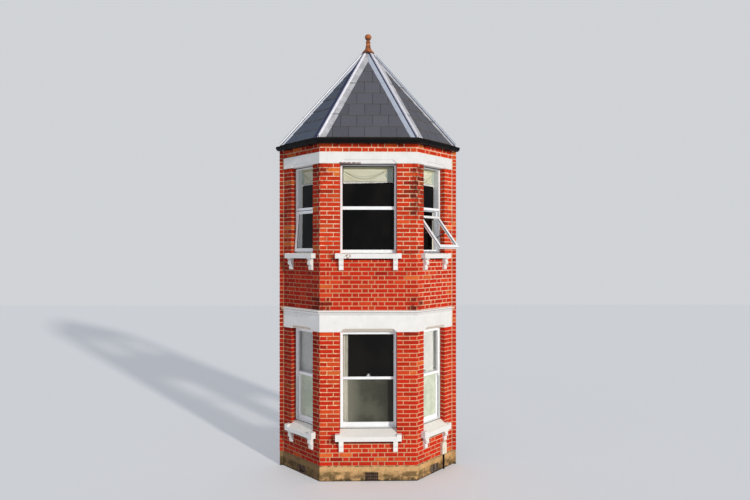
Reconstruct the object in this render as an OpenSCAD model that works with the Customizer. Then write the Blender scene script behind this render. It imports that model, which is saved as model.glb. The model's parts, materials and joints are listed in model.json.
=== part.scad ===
// Two-storey canted bay window, cut off at the house wall.
// X runs along the wall, -Y is the street side and Z is up.
// The origin lies on the ground, in the wall plane, on the bay's centre line.

/* [Plan] */
// Width of the front facet between its brick corners
front_w = 1680; // [1500:10:1900]
// How far each canted side comes forward
cant_run = 727; // [700:1:800]
// Width of the brick nib between a canted side and the house wall
nib_w = 80; // [60:1:120]
// Depth of the nib in front of the wall plane
nib_d = 50; // [40:1:80]
// Thickness of the brick walls
wall_t = 225; // [222:1:235]
// Width of the front window openings
front_open_w = 1000; // [900:5:1100]
// Width of the side window openings
side_open_w = 620; // [520:5:660]
// How far the side openings lie off their facet's middle, towards the front
side_shift = 17; // [0:1:30]
// Depth of the brick reveal in front of the window frames
reveal = 100; // [80:1:101]
// How far the brickwork behind the reveals is cut back for the frames' jambs
check_w = 40; // [20:1:45]

/* [Heights] */
// Top of the rendered plinth
plinth_top = 260; // [200:5:300]
// Underside of the ground-floor sills
lower_sill_z = 715; // [650:5:760]
// Underside of the ground-floor lintel band
lower_head_z = 2586; // [2450:5:2650]
// Height of the plain part of the ground-floor band
fascia_h = 294; // [260:1:320]
// Underside of the first-floor sills
upper_sill_z = 3863; // [3800:5:3950]
// Underside of the first-floor lintel band
upper_head_z = 5515; // [5400:5:5600]
// Height of the first-floor lintel band
lintel_h = 200; // [170:1:225]
// Height of the two brick courses over the first-floor band
eaves_h = 150; // [140:1:160]
// Height of the roof from its eave to where the hips meet
roof_h = 1894; // [1700:2:2000]

/* [Masonry trim] */
// How far the plinth stands out from the brickwork
plinth_proj = 12; // [5:1:30]
// Height of the sloping top of the plinth
plinth_slope_h = 10; // [5:1:20]
// Width of an airbrick
airbrick_w = 225; // [200:5:240]
// Height of an airbrick
airbrick_h = 150; // [140:1:155]
// How far an airbrick reaches into the plinth
airbrick_d = 60; // [50:1:100]
// How far the lintel bands stand out from the brickwork
band_proj = 20; // [10:1:30]
// Height of the splays along the bands' bottom edges, over each window
splay = 62; // [50:1:80]
// Depth of the splays on the ground-floor band
lower_splay_d = 62; // [30:1:80]
// Depth of the shallow rebates on the first-floor band
upper_splay_d = 12; // [6:1:20]
// Distance between the end of a splay and the opening's side
splay_stop = 70; // [50:1:90]
// Height of the moulding on top of the ground-floor band
cornice_h = 83; // [70:1:100]
// How far the moulding stands out from the brickwork
cornice_proj = 72; // [60:1:90]
// Height of the square fillet along the top of the moulding
fillet_h = 24; // [15:1:35]
// How far the sills stand out from the brickwork
sill_proj = 100; // [80:1:120]
// Length of a sill's horn past the opening
horn_l = 73; // [60:1:90]
// Height of a ground-floor sill's front edge
lower_sill_h = 75; // [65:1:90]
// Height of a ground-floor sill's horns
lower_horn_h = 112; // [95:1:120]
// Rise of a ground-floor sill's weathered top from its front edge to the frame
lower_sill_rise = 88; // [60:1:100]
// Height of a first-floor sill's front edge
upper_sill_h = 81; // [70:1:100]
// Height of a first-floor sill's horns
upper_horn_h = 90; // [85:1:110]
// Rise of a first-floor sill's weathered top
upper_sill_rise = 20; // [10:1:40]
// Rounding along the sills' front edges
sill_ease = 8; // [4:1:12]
// Width of a sill bracket
bracket_w = 78; // [60:1:90]
// Height of a sill bracket
bracket_h = 205; // [180:1:220]
// How far a bracket stands out at its top
bracket_proj = 85; // [60:1:90]
// How far a bracket stands out at its neck between the two scrolls
bracket_neck = 30; // [20:1:40]
// How far a bracket's lower scroll stands out
bracket_scroll = 48; // [42:1:60]
// Distance from an opening's side in to the middle of its bracket
bracket_in = 30; // [20:1:45]

/* [Ground-floor windows] */
// Depth of a window frame through the wall
frame_d = 120; // [112:1:122]
// Gap between a window frame and the masonry
frame_gap = 0.3; // [0.2:0.1:0.5]
// Width of a sash frame that shows beside and over its sashes
margin = 15; // [8:1:25]
// Height of a sash frame's cill
cill_h = 15; // [10:1:30]
// Thickness of the lining in front of the top sash
lining_t = 14; // [10:1:18]
// Thickness of the bead between the two sashes
bead_t = 8; // [5:1:10]
// Thickness of a sash
sash_t = 42; // [36:1:44]
// Width of a sash's stiles
stile_w = 54; // [45:1:65]
// Height of a top sash's upper rail
top_rail_h = 40; // [35:1:60]
// Height of a bottom sash's lower rail
bottom_rail_h = 77; // [60:1:95]
// Height of the meeting rails
meeting_h = 45; // [35:1:60]
// Height of the top of the meeting rails above the ground
meeting_z = 1782; // [1650:1:1850]
// Length of the horns under a top sash
sash_horn_h = 62; // [50:1:80]
// Thickness of the glass
glass_t = 6; // [4:1:8]
// How far the glass reaches into its groove
rebate = 8; // [6:1:12]
// Gap round a sash or a hung light in its frame
sash_gap = 0.3; // [0.2:0.1:0.5]

/* [First-floor windows] */
// Width of a frame's jambs beside its panes
jamb_w = 45; // [40:1:60]
// Height of a frame's head
head_h = 30; // [25:1:45]
// Height of a frame's cill
upper_cill_h = 50; // [40:1:65]
// Height of the top of the transoms above the ground
transom_z = 4775; // [4700:1:4850]
// Height of a transom
transom_h = 57; // [45:1:70]
// How far a hung light laps over the frame round it
lap = 18; // [12:1:25]
// Thickness of a hung light
light_t = 44; // [40:1:50]
// How far a hung light is set back from the frame's face
light_in = 15; // [10:1:25]
// Width of a hung light's stiles
light_stile_w = 50; // [40:1:65]
// Height of a hung light's lower rail
light_rail_h = 58; // [45:1:70]
// Angle of the open light on the right
open_angle = 39.5; // [5:0.5:41]
// How far the top of the open light has slid down its stays
open_drop = 105; // [60:1:130]
// Angle of the light ajar on the left
ajar_angle = 5; // [5:1:8]
// How far the top of the light ajar has slid down its stays
ajar_drop = 15; // [5:1:20]

/* [Roof and gutter] */
// How far the slates' edge stands out from the brickwork
eave_proj = 60; // [50:1:90]
// Thickness of the roof measured plumb
roof_t = 90; // [70:1:120]
// How far the roof's peak lies in front of the wall plane
apex_in = 130; // [125:1:200]
// Width of a rafter
rafter_w = 50; // [40:1:60]
// Depth of a rafter measured plumb
rafter_d = 220; // [180:1:260]
// Radius of the post that the hip rafters meet
king_r = 90; // [80:1:100]
// Distance between the rafters behind the front slope
rafter_pitch = 420; // [350:5:500]
// Width of the lead on each side of a hip
lead_w = 125; // [90:1:140]
// Radius of the roll along a hip
roll_r = 24; // [20:1:30]
// Thickness of the lead
lead_t = 5; // [3:0.5:8]
// How far under the hips' meeting point the roof is cut level for the finial
finial_drop = 108; // [80:1:130]
// Height of the finial from its foot to its top
finial_h = 362; // [340:1:420]
// Diameter of the finial's foot
finial_d = 236; // [220:1:270]
// Diameter of the finial's shaft under its collar
shaft_d = 70; // [60:1:90]
// Diameter of the finial's knob
knob_d = 126; // [115:1:140]
// Thickness of the fascia boards behind the gutter
fascia_board_t = 20; // [15:1:24]
// How far the fascia boards reach below the top of the brickwork
fascia_lap = 10; // [4:1:12]
// How far the fascia boards reach above it
fascia_up = 50; // [30:1:55]
// Outer radius of the gutter
gutter_r = 57; // [50:1:65]
// Height of the gutter's upright front rim over its half-round bottom
gutter_rim_h = 16; // [8:1:25]
// Thickness of the gutter
gutter_t = 5; // [4:1:8]
// How far the gutter's back lies from the brickwork
gutter_out = 30; // [20:1:40]
// Height of the gutter's half-round centre over the top of the brickwork
gutter_up = 40; // [30:1:50]
// Width of the sleeves that join the gutter's lengths
sleeve_w = 60; // [40:1:80]
// Thickness of the gutter brackets' straps
strap_t = 4; // [3:1:6]
// Width of the gutter brackets' straps
strap_w = 30; // [20:1:40]

/* [Inside] */
// Top of the ground floor
floor_z = 300; // [280:5:340]
// Thickness of the ground floor
floor_t = 120; // [100:5:150]
// Top of the first floor
upper_floor_z = 3200; // [3150:5:3300]
// Thickness of the first floor and its ceiling
upper_floor_t = 260; // [220:5:300]
// Thickness of the top ceiling
ceiling_t = 100; // [80:5:120]
// Thickness of the sleeper wall that carries the ground floor at the wall plane
sleeper_t = 112; // [100:1:120]
// Height of the beams over the rooms' openings
beam_h = 160; // [140:5:200]
// Depth of those beams in front of the wall plane
beam_d = 100; // [80:5:120]
// Thickness of the window boards
board_t = 28; // [20:1:35]
// How far a window board stands out into the room
board_proj = 35; // [20:1:40]
// Drop of the gathered blinds
blind_drop = 320; // [280:5:400]
// Thickness of the gathered blinds
blind_t = 30; // [20:1:35]
// Distance between a blind's side and the glass's side
blind_in = 12; // [5:1:20]
// Width of the front window's drawn curtain
curtain_w = 130; // [80:1:160]
// Depth of that curtain's folds
curtain_t = 50; // [40:1:60]
// Width of the curtains at the first-floor side windows
strip_w = 95; // [60:1:110]
// Depth of those curtains' folds
strip_t = 30; // [20:1:34]
// Thickness of a net curtain's folds
net_t = 14; // [10:1:20]

/* [Service box] */
// Width of the service box
box_w = 130; // [110:1:180]
// Height of the service box
box_h = 224; // [200:1:280]
// Depth of the service box
box_d = 52; // [48:1:80]
// Rise of the service box's arched top
box_arch = 50; // [20:1:60]
// Height of the service box's underside above the ground
box_z = 280; // [250:1:300]
// Distance of the service box's middle from the front corner along the side
box_s = 742; // [700:1:900]
// Diameter of the conduit
conduit_d = 30; // [16:1:32]

/* [Hidden] */

cant_angle = 45;
mitre = tan(cant_angle / 2);
half_w = front_w / 2;
cant_len = cant_run / sin(cant_angle);
bay_d = cant_run + nib_d;
end_x = half_w + cant_run / tan(cant_angle);
nib_x = end_x + nib_w;
inner_x = half_w - mitre * wall_t;
inner_back_x = inner_x + (bay_d - wall_t) / tan(cant_angle);
side_near = (cant_len - side_open_w) / 2 - side_shift;
side_far = side_near + side_open_w;
side_mid = (side_near + side_far) / 2;
cut = 1;
reach = 300;
band_past = 4;

lower_sill_top = lower_sill_z + lower_sill_h + lower_sill_rise;
upper_sill_top = upper_sill_z + upper_sill_h + upper_sill_rise;
cornice_z = lower_head_z + fascia_h;
cornice_top = cornice_z + cornice_h;
lintel_top = upper_head_z + lintel_h;
eaves_z = lintel_top + eaves_h;
apex = [0, -apex_in, eaves_z + roof_h];
frame_y = reveal + frame_gap;
frame_back = frame_y + frame_d;

// A point on the right-hand canted side: s along it from the front corner, t inwards
function cant_pt(s, t) = [
  half_w + s * cos(cant_angle) - t * sin(cant_angle),
  -bay_d + s * sin(cant_angle) + t * cos(cant_angle)
];

// The front facet's frame: X along it from its middle, Y inwards from the brick face
module on_front() translate([0, -bay_d, 0]) children();

// The right-hand side's frame: X along it from the front corner, Y inwards
module on_right() translate([half_w, -bay_d, 0]) rotate([0, 0, cant_angle]) children();

// Both canted sides, the left one as a mirror image
module on_sides() {
  on_right() children();
  mirror([1, 0, 0]) on_right() children();
}

// The side openings' middles, right, left and both
module in_right() on_right() translate([side_mid, 0, 0]) children();
module in_left() mirror([1, 0, 0]) in_right() children();
module in_sides() {
  in_right() children();
  in_left() children();
}

// A box from x0, y0 and z0 to x1, y1 and z1
module block(x0, x1, y0, y1, z0, z1) translate([x0, y0, z0]) cube([x1 - x0, y1 - y0, z1 - z0]);

// A prism on a plan outline between two heights
module slab(outline, z0, z1) translate([0, 0, z0]) linear_extrude(z1 - z0) polygon(outline);

// A bar along X from x0 to x1 whose section is drawn as points of [inwards, up]
module bar(section, x0, x1) {
  translate([x0, 0, 0]) rotate([90, 0, 90]) linear_extrude(x1 - x0) polygon(section);
}

// The part of a bar on the front facet between its two mitres
module front_mitre(section) {
  intersection() {
    bar(section, -half_w - reach, half_w + reach);
    slab([
      [-half_w - mitre * reach, -reach], [half_w + mitre * reach, -reach],
      [half_w - mitre * reach, reach], [-half_w + mitre * reach, reach]
    ], -cut, apex[2]);
  }
}

// Everything on a side's own part of the bay, past its mitre with the front
module side_region() {
  slab([
    [-mitre * reach, -reach], [2 * cant_len, -reach],
    [2 * cant_len, 2 * reach], [mitre * 2 * reach, 2 * reach]
  ], -cut, apex[2]);
}

// A band of the front wall between two heights, with a moulding on its face
module band_front(section, z0, z1) {
  union() {
    on_front() front_mitre(section);
    slab(front_plan, z0, z1);
  }
}

// The same on the right-hand side, where the moulding stops square on the nib's edge
module band_side(section, z0, z1) {
  intersection() {
    union() {
      on_right() bar(section, -reach, cant_len + band_past);
      slab(side_plan_long, z0, z1);
    }
    on_right() side_region();
  }
}

// Plan outlines of the walls, for the right-hand side where they come in pairs
front_plan = [
  [-half_w, -bay_d], [half_w, -bay_d], [inner_x, -bay_d + wall_t], [-inner_x, -bay_d + wall_t]
];
side_plan = [
  [half_w, -bay_d], cant_pt(cant_len, 0), [nib_x, -nib_d], [nib_x, 0],
  [inner_back_x, 0], [inner_x, -bay_d + wall_t]
];
side_plan_long = [
  cant_pt(-reach, 0), cant_pt(cant_len, 0), [nib_x, -nib_d], [nib_x, 0],
  [inner_back_x, 0], cant_pt(-reach, wall_t)
];
// The piers step back behind the reveals, where the frames' jambs are checked in
corner_pier_plan = [
  [front_open_w / 2, -bay_d], [half_w, -bay_d], cant_pt(side_near, 0), cant_pt(side_near, reveal),
  cant_pt(side_near - check_w, reveal), cant_pt(side_near - check_w, wall_t),
  [inner_x, -bay_d + wall_t], [front_open_w / 2 + check_w, -bay_d + wall_t],
  [front_open_w / 2 + check_w, -bay_d + reveal], [front_open_w / 2, -bay_d + reveal]
];
end_pier_plan = [
  cant_pt(side_far, 0), cant_pt(cant_len, 0), [nib_x, -nib_d], [nib_x, 0],
  [inner_back_x, 0], cant_pt(side_far + check_w, wall_t),
  cant_pt(side_far + check_w, reveal), cant_pt(side_far, reveal)
];
bay_plan = [
  [-nib_x, 0], [-nib_x, -nib_d], [-end_x, -nib_d], [-half_w, -bay_d],
  [half_w, -bay_d], [end_x, -nib_d], [nib_x, -nib_d], [nib_x, 0]
];
room_plan = [
  [-inner_x, -bay_d + wall_t], [inner_x, -bay_d + wall_t], [inner_back_x, 0], [-inner_back_x, 0]
];

module both_sides() {
  children();
  mirror([1, 0, 0]) children();
}

brick_colour = "#b5533a";
white_paint = "#f1efe9";
black_paint = "#26282a";
lead_colour = "#b9bcc0";
glass_colour = "#9fb0ae";

// Rendered plinth, with a sloping top edge
plinth_section = [
  [-plinth_proj, 0], [nib_d, 0], [nib_d, plinth_top], [0, plinth_top],
  [-plinth_proj, plinth_top - plinth_slope_h]
];

airbrick_x = 57;
airbrick_z = 2;
airbrick_proj = 4;
airbrick_y = -plinth_proj - airbrick_proj;
side_airbrick_s = 490;

// Columns and rows of the recesses in each airbrick, and a recess's width and height
front_grid = [7, 3];
front_hole = [18, 30];
right_grid = [2, 1];
right_hole = [45, 130];
left_grid = [1, 1];
left_hole = [165, 85];

module airbrick_hole() {
  block(-airbrick_w / 2, airbrick_w / 2, airbrick_y - cut, airbrick_d, airbrick_z, airbrick_z + airbrick_h);
}

module plinth_front() {
  color("#b08d63") difference() {
    band_front(plinth_section, 0, plinth_top);
    on_front() translate([airbrick_x, 0, 0]) airbrick_hole();
  }
}

module plinth_sides() {
  color("#b08d63") both_sides() difference() {
    band_side(plinth_section, 0, plinth_top);
    on_right() translate([side_airbrick_s, 0, 0]) airbrick_hole();
  }
}

// One clay airbrick, with a grid of recesses
module airbrick(grid, hole) {
  w = airbrick_w - 2 * frame_gap;
  h = airbrick_h - 2 * frame_gap;
  translate([-w / 2, airbrick_y, airbrick_z + frame_gap]) difference() {
    cube([w, airbrick_d - airbrick_y - frame_gap, h]);
    for (i = [0:grid[0] - 1], j = [0:grid[1] - 1])
      translate([
        (i + 0.5) * w / grid[0] - hole[0] / 2, -cut, (j + 0.5) * h / grid[1] - hole[1] / 2
      ]) cube([hole[0], airbrick_d / 2, hole[1]]);
  }
}

module airbricks() {
  color("#8a6a4c") {
    on_front() translate([airbrick_x, 0, 0]) airbrick(front_grid, front_hole);
    on_right() translate([side_airbrick_s, 0, 0]) airbrick(right_grid, right_hole);
    mirror([1, 0, 0]) on_right() translate([side_airbrick_s, 0, 0]) airbrick(left_grid, left_hole);
  }
}

// Brickwork under the ground-floor sills
module lower_wall_front() color(brick_colour) slab(front_plan, plinth_top, lower_sill_z);
module lower_wall_sides() color(brick_colour) both_sides() slab(side_plan, plinth_top, lower_sill_z);

// Brick piers between and beside the windows
module lower_corner_piers() {
  color(brick_colour) both_sides() slab(corner_pier_plan, lower_sill_z, lower_head_z);
}
module lower_end_piers() {
  color(brick_colour) both_sides() slab(end_pier_plan, lower_sill_z, lower_head_z);
}
module upper_corner_piers() {
  color(brick_colour) both_sides() slab(corner_pier_plan, upper_sill_z, upper_head_z);
}
module upper_end_piers() {
  color(brick_colour) both_sides() slab(end_pier_plan, upper_sill_z, upper_head_z);
}

// Brickwork between the two storeys' windows
module upper_wall_front() color(brick_colour) slab(front_plan, cornice_top, upper_sill_z);
module upper_wall_sides() color(brick_colour) both_sides() slab(side_plan, cornice_top, upper_sill_z);

// A stone sill for an opening of width w: its weathered top lies between the reveals,
// its horns stand level outside them and its back is notched for the window board
module sill(w, z, face_h, rise, horn_h) {
  top = z + face_h + rise;
  half = w / 2 - frame_gap;
  notch = wall_t - board_proj;
  union() {
    bar([
      [-sill_proj, z], [reveal + board_t, z], [reveal + board_t, top], [reveal, top],
      [-sill_proj + sill_ease, z + face_h], [-sill_proj, z + face_h - sill_ease]
    ], -half, half);
    bar([
      [reveal + frame_gap, z], [wall_t, z], [wall_t, top - board_t], [notch, top - board_t],
      [notch, top], [reveal + frame_gap, top]
    ], -half - check_w, half + check_w);
    for (x = [-half - horn_l, half - sill_ease])
      bar([
        [-sill_proj, z], [-frame_gap, z], [-frame_gap, z + horn_h],
        [-sill_proj + sill_ease, z + horn_h], [-sill_proj, z + horn_h - sill_ease]
      ], x, x + horn_l + sill_ease);
  }
}

module lower_sill(w) sill(w, lower_sill_z, lower_sill_h, lower_sill_rise, lower_horn_h);
module upper_sill(w) sill(w, upper_sill_z, upper_sill_h, upper_sill_rise, upper_horn_h);

module lower_sills() {
  color(white_paint) {
    on_front() lower_sill(front_open_w);
    in_sides() lower_sill(side_open_w);
  }
}

module upper_sills() {
  color(white_paint) {
    on_front() upper_sill(front_open_w);
    in_sides() upper_sill(side_open_w);
  }
}

// A console bracket under a sill: a square cap over two scrolls, the upper one deeper
bracket_cap_h = 22;
bracket_steps = 8;
scroll_split = 0.42;
function scroll(z0, z1, base, out) = [
  for (i = [0:bracket_steps]) let (a = 180 * i / bracket_steps)
    [-base - (out - base) * sin(a), z0 + (z1 - z0) * (1 - cos(a)) / 2]
];

module bracket(z) {
  z0 = z - bracket_h;
  z1 = z - bracket_cap_h;
  split = z0 + (z1 - z0) * scroll_split;
  bar(concat(
    [[-frame_gap, z - frame_gap], [-frame_gap, z0]],
    scroll(z0, split, bracket_neck, bracket_scroll),
    scroll(split + cut, z1, bracket_neck, bracket_proj - sill_ease),
    [[-bracket_proj, z1], [-bracket_proj, z - frame_gap]]
  ), -bracket_w / 2, bracket_w / 2);
}

module bracket_pair(w, z) {
  for (side = [-1, 1])
    translate([side * (w / 2 - bracket_in), 0, 0]) bracket(z);
}

module lower_brackets() {
  color(white_paint) {
    on_front() bracket_pair(front_open_w, lower_sill_z);
    in_sides() bracket_pair(side_open_w, lower_sill_z);
  }
}

module upper_brackets() {
  color(white_paint) {
    on_front() bracket_pair(front_open_w, upper_sill_z);
    in_sides() bracket_pair(side_open_w, upper_sill_z);
  }
}

// Ground-floor sash frame for an opening of width w: a lining, two grooves with a bead
// between them for the sashes, and jambs that reach behind the reveals
top_sash_y = frame_y + lining_t + sash_gap;
bottom_sash_y = top_sash_y + sash_t + 2 * sash_gap + bead_t;
sash_z0 = lower_sill_top + cill_h;
sash_z1 = lower_head_z - margin;

module sash_groove(w, y) {
  block(-w / 2, w / 2, y - sash_gap, y + sash_t + sash_gap, sash_z0, sash_z1);
}

module sash_frame(w) {
  outer = w / 2 + check_w - frame_gap;
  clear = w / 2 - margin;
  difference() {
    block(-outer, outer, frame_y, frame_back, lower_sill_top, lower_head_z - frame_gap);
    block(-clear, clear, frame_y - cut, frame_back + cut, sash_z0, sash_z1);
    sash_groove(w, top_sash_y);
    sash_groove(w, bottom_sash_y);
  }
}

module lower_frames() {
  color(white_paint) {
    on_front() sash_frame(front_open_w);
    in_sides() sash_frame(side_open_w);
  }
}

// A glazed ring of stiles and rails with its front face at y, grooved for its pane
module glazed_ring(w, z0, z1, y, t, side, bottom_h, top_h) {
  mid = y + t / 2;
  difference() {
    block(-w / 2, w / 2, y, y + t, z0, z1);
    block(side - w / 2, w / 2 - side, y - cut, y + t + cut, z0 + bottom_h, z1 - top_h);
    block(side - rebate - w / 2, w / 2 - side + rebate, mid - glass_t / 2, mid + glass_t / 2,
      z0 + bottom_h - rebate, z1 - top_h + rebate);
  }
}

// The pane of such a ring
module pane(w, z0, z1, y, t, side, bottom_h, top_h) {
  mid = y + t / 2;
  half = w / 2 - side + rebate - sash_gap;
  half_t = glass_t / 2 - sash_gap;
  lip = rebate - sash_gap;
  block(-half, half, mid - half_t, mid + half_t, z0 + bottom_h - lip, z1 - top_h + lip);
}

// The horn under one stile of a top sash, cut to a curve on its inner side
horn_steps = 6;
horn_tip_share = 0.45;
module sash_horn(w) {
  z1 = meeting_z - meeting_h;
  outer = w / 2;
  tip = stile_w * horn_tip_share;
  translate([0, top_sash_y + sash_t, 0]) rotate([90, 0, 0]) linear_extrude(sash_t) polygon(concat(
    [[outer, z1 + cut], [outer, z1 - sash_horn_h]],
    [for (i = [0:horn_steps]) let (a = 90 * i / horn_steps)
      [outer - tip - (stile_w - tip) * (1 - cos(a)), z1 - sash_horn_h + sash_horn_h * sin(a)]],
    [[outer - stile_w, z1 + cut]]
  ));
}

module top_sash(w) {
  union() {
    glazed_ring(w, meeting_z - meeting_h, sash_z1 - sash_gap, top_sash_y, sash_t,
      stile_w, meeting_h, top_rail_h);
    both_sides() sash_horn(w);
  }
}

// A bottom sash, whose meeting rail closes forward on the top sash's
module bottom_sash(w) {
  union() {
    glazed_ring(w, sash_z0 + sash_gap, meeting_z, bottom_sash_y, sash_t,
      stile_w, bottom_rail_h, meeting_h);
    block(margin + sash_gap - w / 2, w / 2 - margin - sash_gap,
      top_sash_y + sash_t + sash_gap, bottom_sash_y + cut, meeting_z - meeting_h, meeting_z);
  }
}

module sash_panes(w) {
  pane(w, meeting_z - meeting_h, sash_z1 - sash_gap, top_sash_y, sash_t, stile_w, meeting_h, top_rail_h);
  pane(w, sash_z0 + sash_gap, meeting_z, bottom_sash_y, sash_t, stile_w, bottom_rail_h, meeting_h);
}

front_sash_w = front_open_w - 2 * sash_gap;
side_sash_w = side_open_w - 2 * sash_gap;

module top_sashes() {
  color(white_paint) {
    on_front() top_sash(front_sash_w);
    in_sides() top_sash(side_sash_w);
  }
}

module bottom_sashes() {
  color(white_paint) {
    on_front() bottom_sash(front_sash_w);
    in_sides() bottom_sash(side_sash_w);
  }
}

module lower_glass() {
  color(glass_colour, 0.5) {
    on_front() sash_panes(front_sash_w);
    in_sides() sash_panes(side_sash_w);
  }
}

// A catch on the middle of the meeting rails: a plate, a pivot and a lever
catch_w = 64;
catch_t = 4;
catch_r = 14;
catch_h = 34;
module sash_catch() {
  translate([0, bottom_sash_y + sash_t / 2, meeting_z + sash_gap]) union() {
    block(-catch_w / 2, catch_w / 2, -catch_r, catch_r, 0, catch_t);
    cylinder(h = catch_h, r = catch_r, $fn = 24);
    block(-catch_r, catch_w / 2, -catch_r / 2, catch_r / 2, catch_h - 2 * catch_t, catch_h - catch_t);
  }
}

module sash_catches() {
  color("#d9d4c6") {
    on_front() sash_catch();
    in_sides() sash_catch();
  }
}

// First-floor frames: a fixed pane over the transom, and under it a fixed pane at the
// front or an opening with a rebate for a light hung from its top at the sides
upper_z0 = upper_sill_top + upper_cill_h;
upper_z1 = transom_z - transom_h;
light_y = frame_y + light_in;
light_z0 = upper_z0 - lap + sash_gap;
light_z1 = upper_z1 + lap - sash_gap;
pane_y = frame_y + light_in;

module frame_block(w) {
  outer = w / 2 + check_w - frame_gap;
  block(-outer, outer, frame_y, frame_back, upper_sill_top, upper_head_z - frame_gap);
}

// What is cut from a frame for a fixed pane of clear size between two heights
module pane_cut(w, z0, z1) {
  mid = pane_y + light_t / 2;
  half = w / 2 - jamb_w;
  block(-half, half, frame_y - cut, frame_back + cut, z0, z1);
  block(-half - rebate, half + rebate, mid - glass_t / 2, mid + glass_t / 2, z0 - rebate, z1 + rebate);
}

module fixed_frame(w) {
  difference() {
    frame_block(w);
    pane_cut(w, transom_z, upper_head_z - head_h);
    pane_cut(w, upper_z0, upper_z1);
  }
}

module hung_frame(w) {
  half = w / 2 - jamb_w;
  difference() {
    frame_block(w);
    pane_cut(w, transom_z, upper_head_z - head_h);
    block(-half, half, frame_y - cut, frame_back + cut, upper_z0, upper_z1);
    block(-half - lap, half + lap, frame_y - cut, light_y + light_t + sash_gap,
      upper_z0 - lap, upper_z1 + lap);
  }
}

module upper_frames() {
  color(white_paint) {
    on_front() fixed_frame(front_open_w);
    in_sides() hung_frame(side_open_w);
  }
}

// Tips a hung light out at the bottom, about its own top edge, after sliding it down
module hung(angle, drop) {
  translate([0, light_y, light_z1 - drop]) rotate([-angle, 0, 0])
    translate([0, -light_y, -light_z1]) children();
}

light_w = side_open_w - 2 * (jamb_w - lap + sash_gap);
module hung_light() {
  glazed_ring(light_w, light_z0, light_z1, light_y, light_t, light_stile_w, light_rail_h, light_stile_w);
}
module hung_pane() {
  pane(light_w, light_z0, light_z1, light_y, light_t, light_stile_w, light_rail_h, light_stile_w);
}

// The stay arms of the open light, from its stiles to pins on the inner sides of the
// jambs, which lie stay_y inwards and stay_drop under the transom
stay_t = 4;
stay_h = 16;
stay_share = 0.46;
stay_y = 160;
stay_drop = 490;
module stays() {
  q = stay_share * (light_z1 - light_z0);
  from = [
    light_y + light_t / 2 * cos(open_angle) - q * sin(open_angle),
    light_z1 - open_drop - light_t / 2 * sin(open_angle) - q * cos(open_angle)
  ];
  to = [stay_y, transom_z - transom_h - stay_drop];
  arm = to - from;
  x = side_open_w / 2 - jamb_w - sash_gap - stay_t;
  both_sides() translate([x, from[0], from[1]]) rotate([atan2(arm[1], arm[0]), 0, 0])
    translate([0, 0, -stay_h / 2]) cube([stay_t, norm(arm), stay_h]);
}

module casements() {
  color(white_paint) {
    in_right() union() {
      hung(open_angle, open_drop) hung_light();
      stays();
    }
    in_left() hung(ajar_angle, ajar_drop) hung_light();
  }
}

module fixed_pane(w, z0, z1) {
  pane(w, z0, z1, pane_y, light_t, jamb_w, 0, 0);
}

module upper_glass() {
  color(glass_colour, 0.5) {
    on_front() fixed_pane(front_open_w, upper_z0, upper_z1);
    on_front() fixed_pane(front_open_w, transom_z, upper_head_z - head_h);
    in_sides() fixed_pane(side_open_w, transom_z, upper_head_z - head_h);
    in_right() hung(open_angle, open_drop) hung_pane();
    in_left() hung(ajar_angle, ajar_drop) hung_pane();
  }
}

// The ground-floor band: a plain fascia under a moulding with a hollow and a round
cornice_steps = 8;
cornice_fall = 6;
cornice_lip = 8;
cyma_h = cornice_h - fillet_h - cornice_fall;
cornice_section = concat(
  [[nib_d, lower_head_z], [nib_d, cornice_top], [0, cornice_top],
   [-cornice_proj, cornice_top - cornice_fall], [-cornice_proj, cornice_z + cyma_h]],
  [for (i = [0:cornice_steps]) let (a = 180 * i / cornice_steps) [
    -band_proj - (cornice_proj - cornice_lip - band_proj) * (1 + cos(a)) / 2,
    cornice_z + cyma_h * (1 - i / cornice_steps)
  ]],
  [[-band_proj, lower_head_z]]
);
lintel_section = [
  [-band_proj, upper_head_z], [nib_d, upper_head_z], [nib_d, lintel_top],
  [0, lintel_top], [-band_proj, lintel_top - cornice_fall]
];

// The splay cut along the bottom edge of a band over an opening of width w: it goes d
// deep along the bottom and keep_d deep along its top
module splay_cut(w, z, d, keep_d) {
  l = w / 2 - splay_stop;
  y = -band_proj - cut;
  hull() {
    block(-l - splay, l + splay, y, y + cut + keep_d, z - cut, z);
    block(-l, l, y, y + cut + keep_d, z - cut, z + splay);
    block(-l, l, y, y + cut + d, z - cut, z);
  }
}

module cornice_front() {
  color(white_paint) difference() {
    band_front(cornice_section, lower_head_z, cornice_top);
    on_front() splay_cut(front_open_w, lower_head_z, lower_splay_d, 0);
  }
}

module cornice_sides() {
  color(white_paint) both_sides() difference() {
    band_side(cornice_section, lower_head_z, cornice_top);
    in_right() splay_cut(side_open_w, lower_head_z, lower_splay_d, 0);
  }
}

module lintel_front() {
  color(white_paint) difference() {
    band_front(lintel_section, upper_head_z, lintel_top);
    on_front() splay_cut(front_open_w, upper_head_z, upper_splay_d, upper_splay_d);
  }
}

module lintel_sides() {
  color(white_paint) both_sides() difference() {
    band_side(lintel_section, upper_head_z, lintel_top);
    in_right() splay_cut(side_open_w, upper_head_z, upper_splay_d, upper_splay_d);
  }
}

// The brick courses over the first-floor band
module eaves_wall_front() color(brick_colour) slab(front_plan, lintel_top, eaves_z);
module eaves_wall_sides() color(brick_colour) both_sides() slab(side_plan, lintel_top, eaves_z);

// Corners of the slates' lower edge
eave_x = half_w + mitre * eave_proj;
eave_front_y = -bay_d - eave_proj;
eave_end = [nib_x, eave_front_y + (nib_x - eave_x)];

// The peak, where the hips would meet, and the level top under the finial
peak = [apex[0], apex[1]];
top_z = apex[2] - finial_drop;
eave_top_z = eaves_z + roof_t;
top_share = (top_z - eave_top_z) / (apex[2] - eave_top_z);
function up_hip(a) = a + (peak - a) * top_share;

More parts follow.
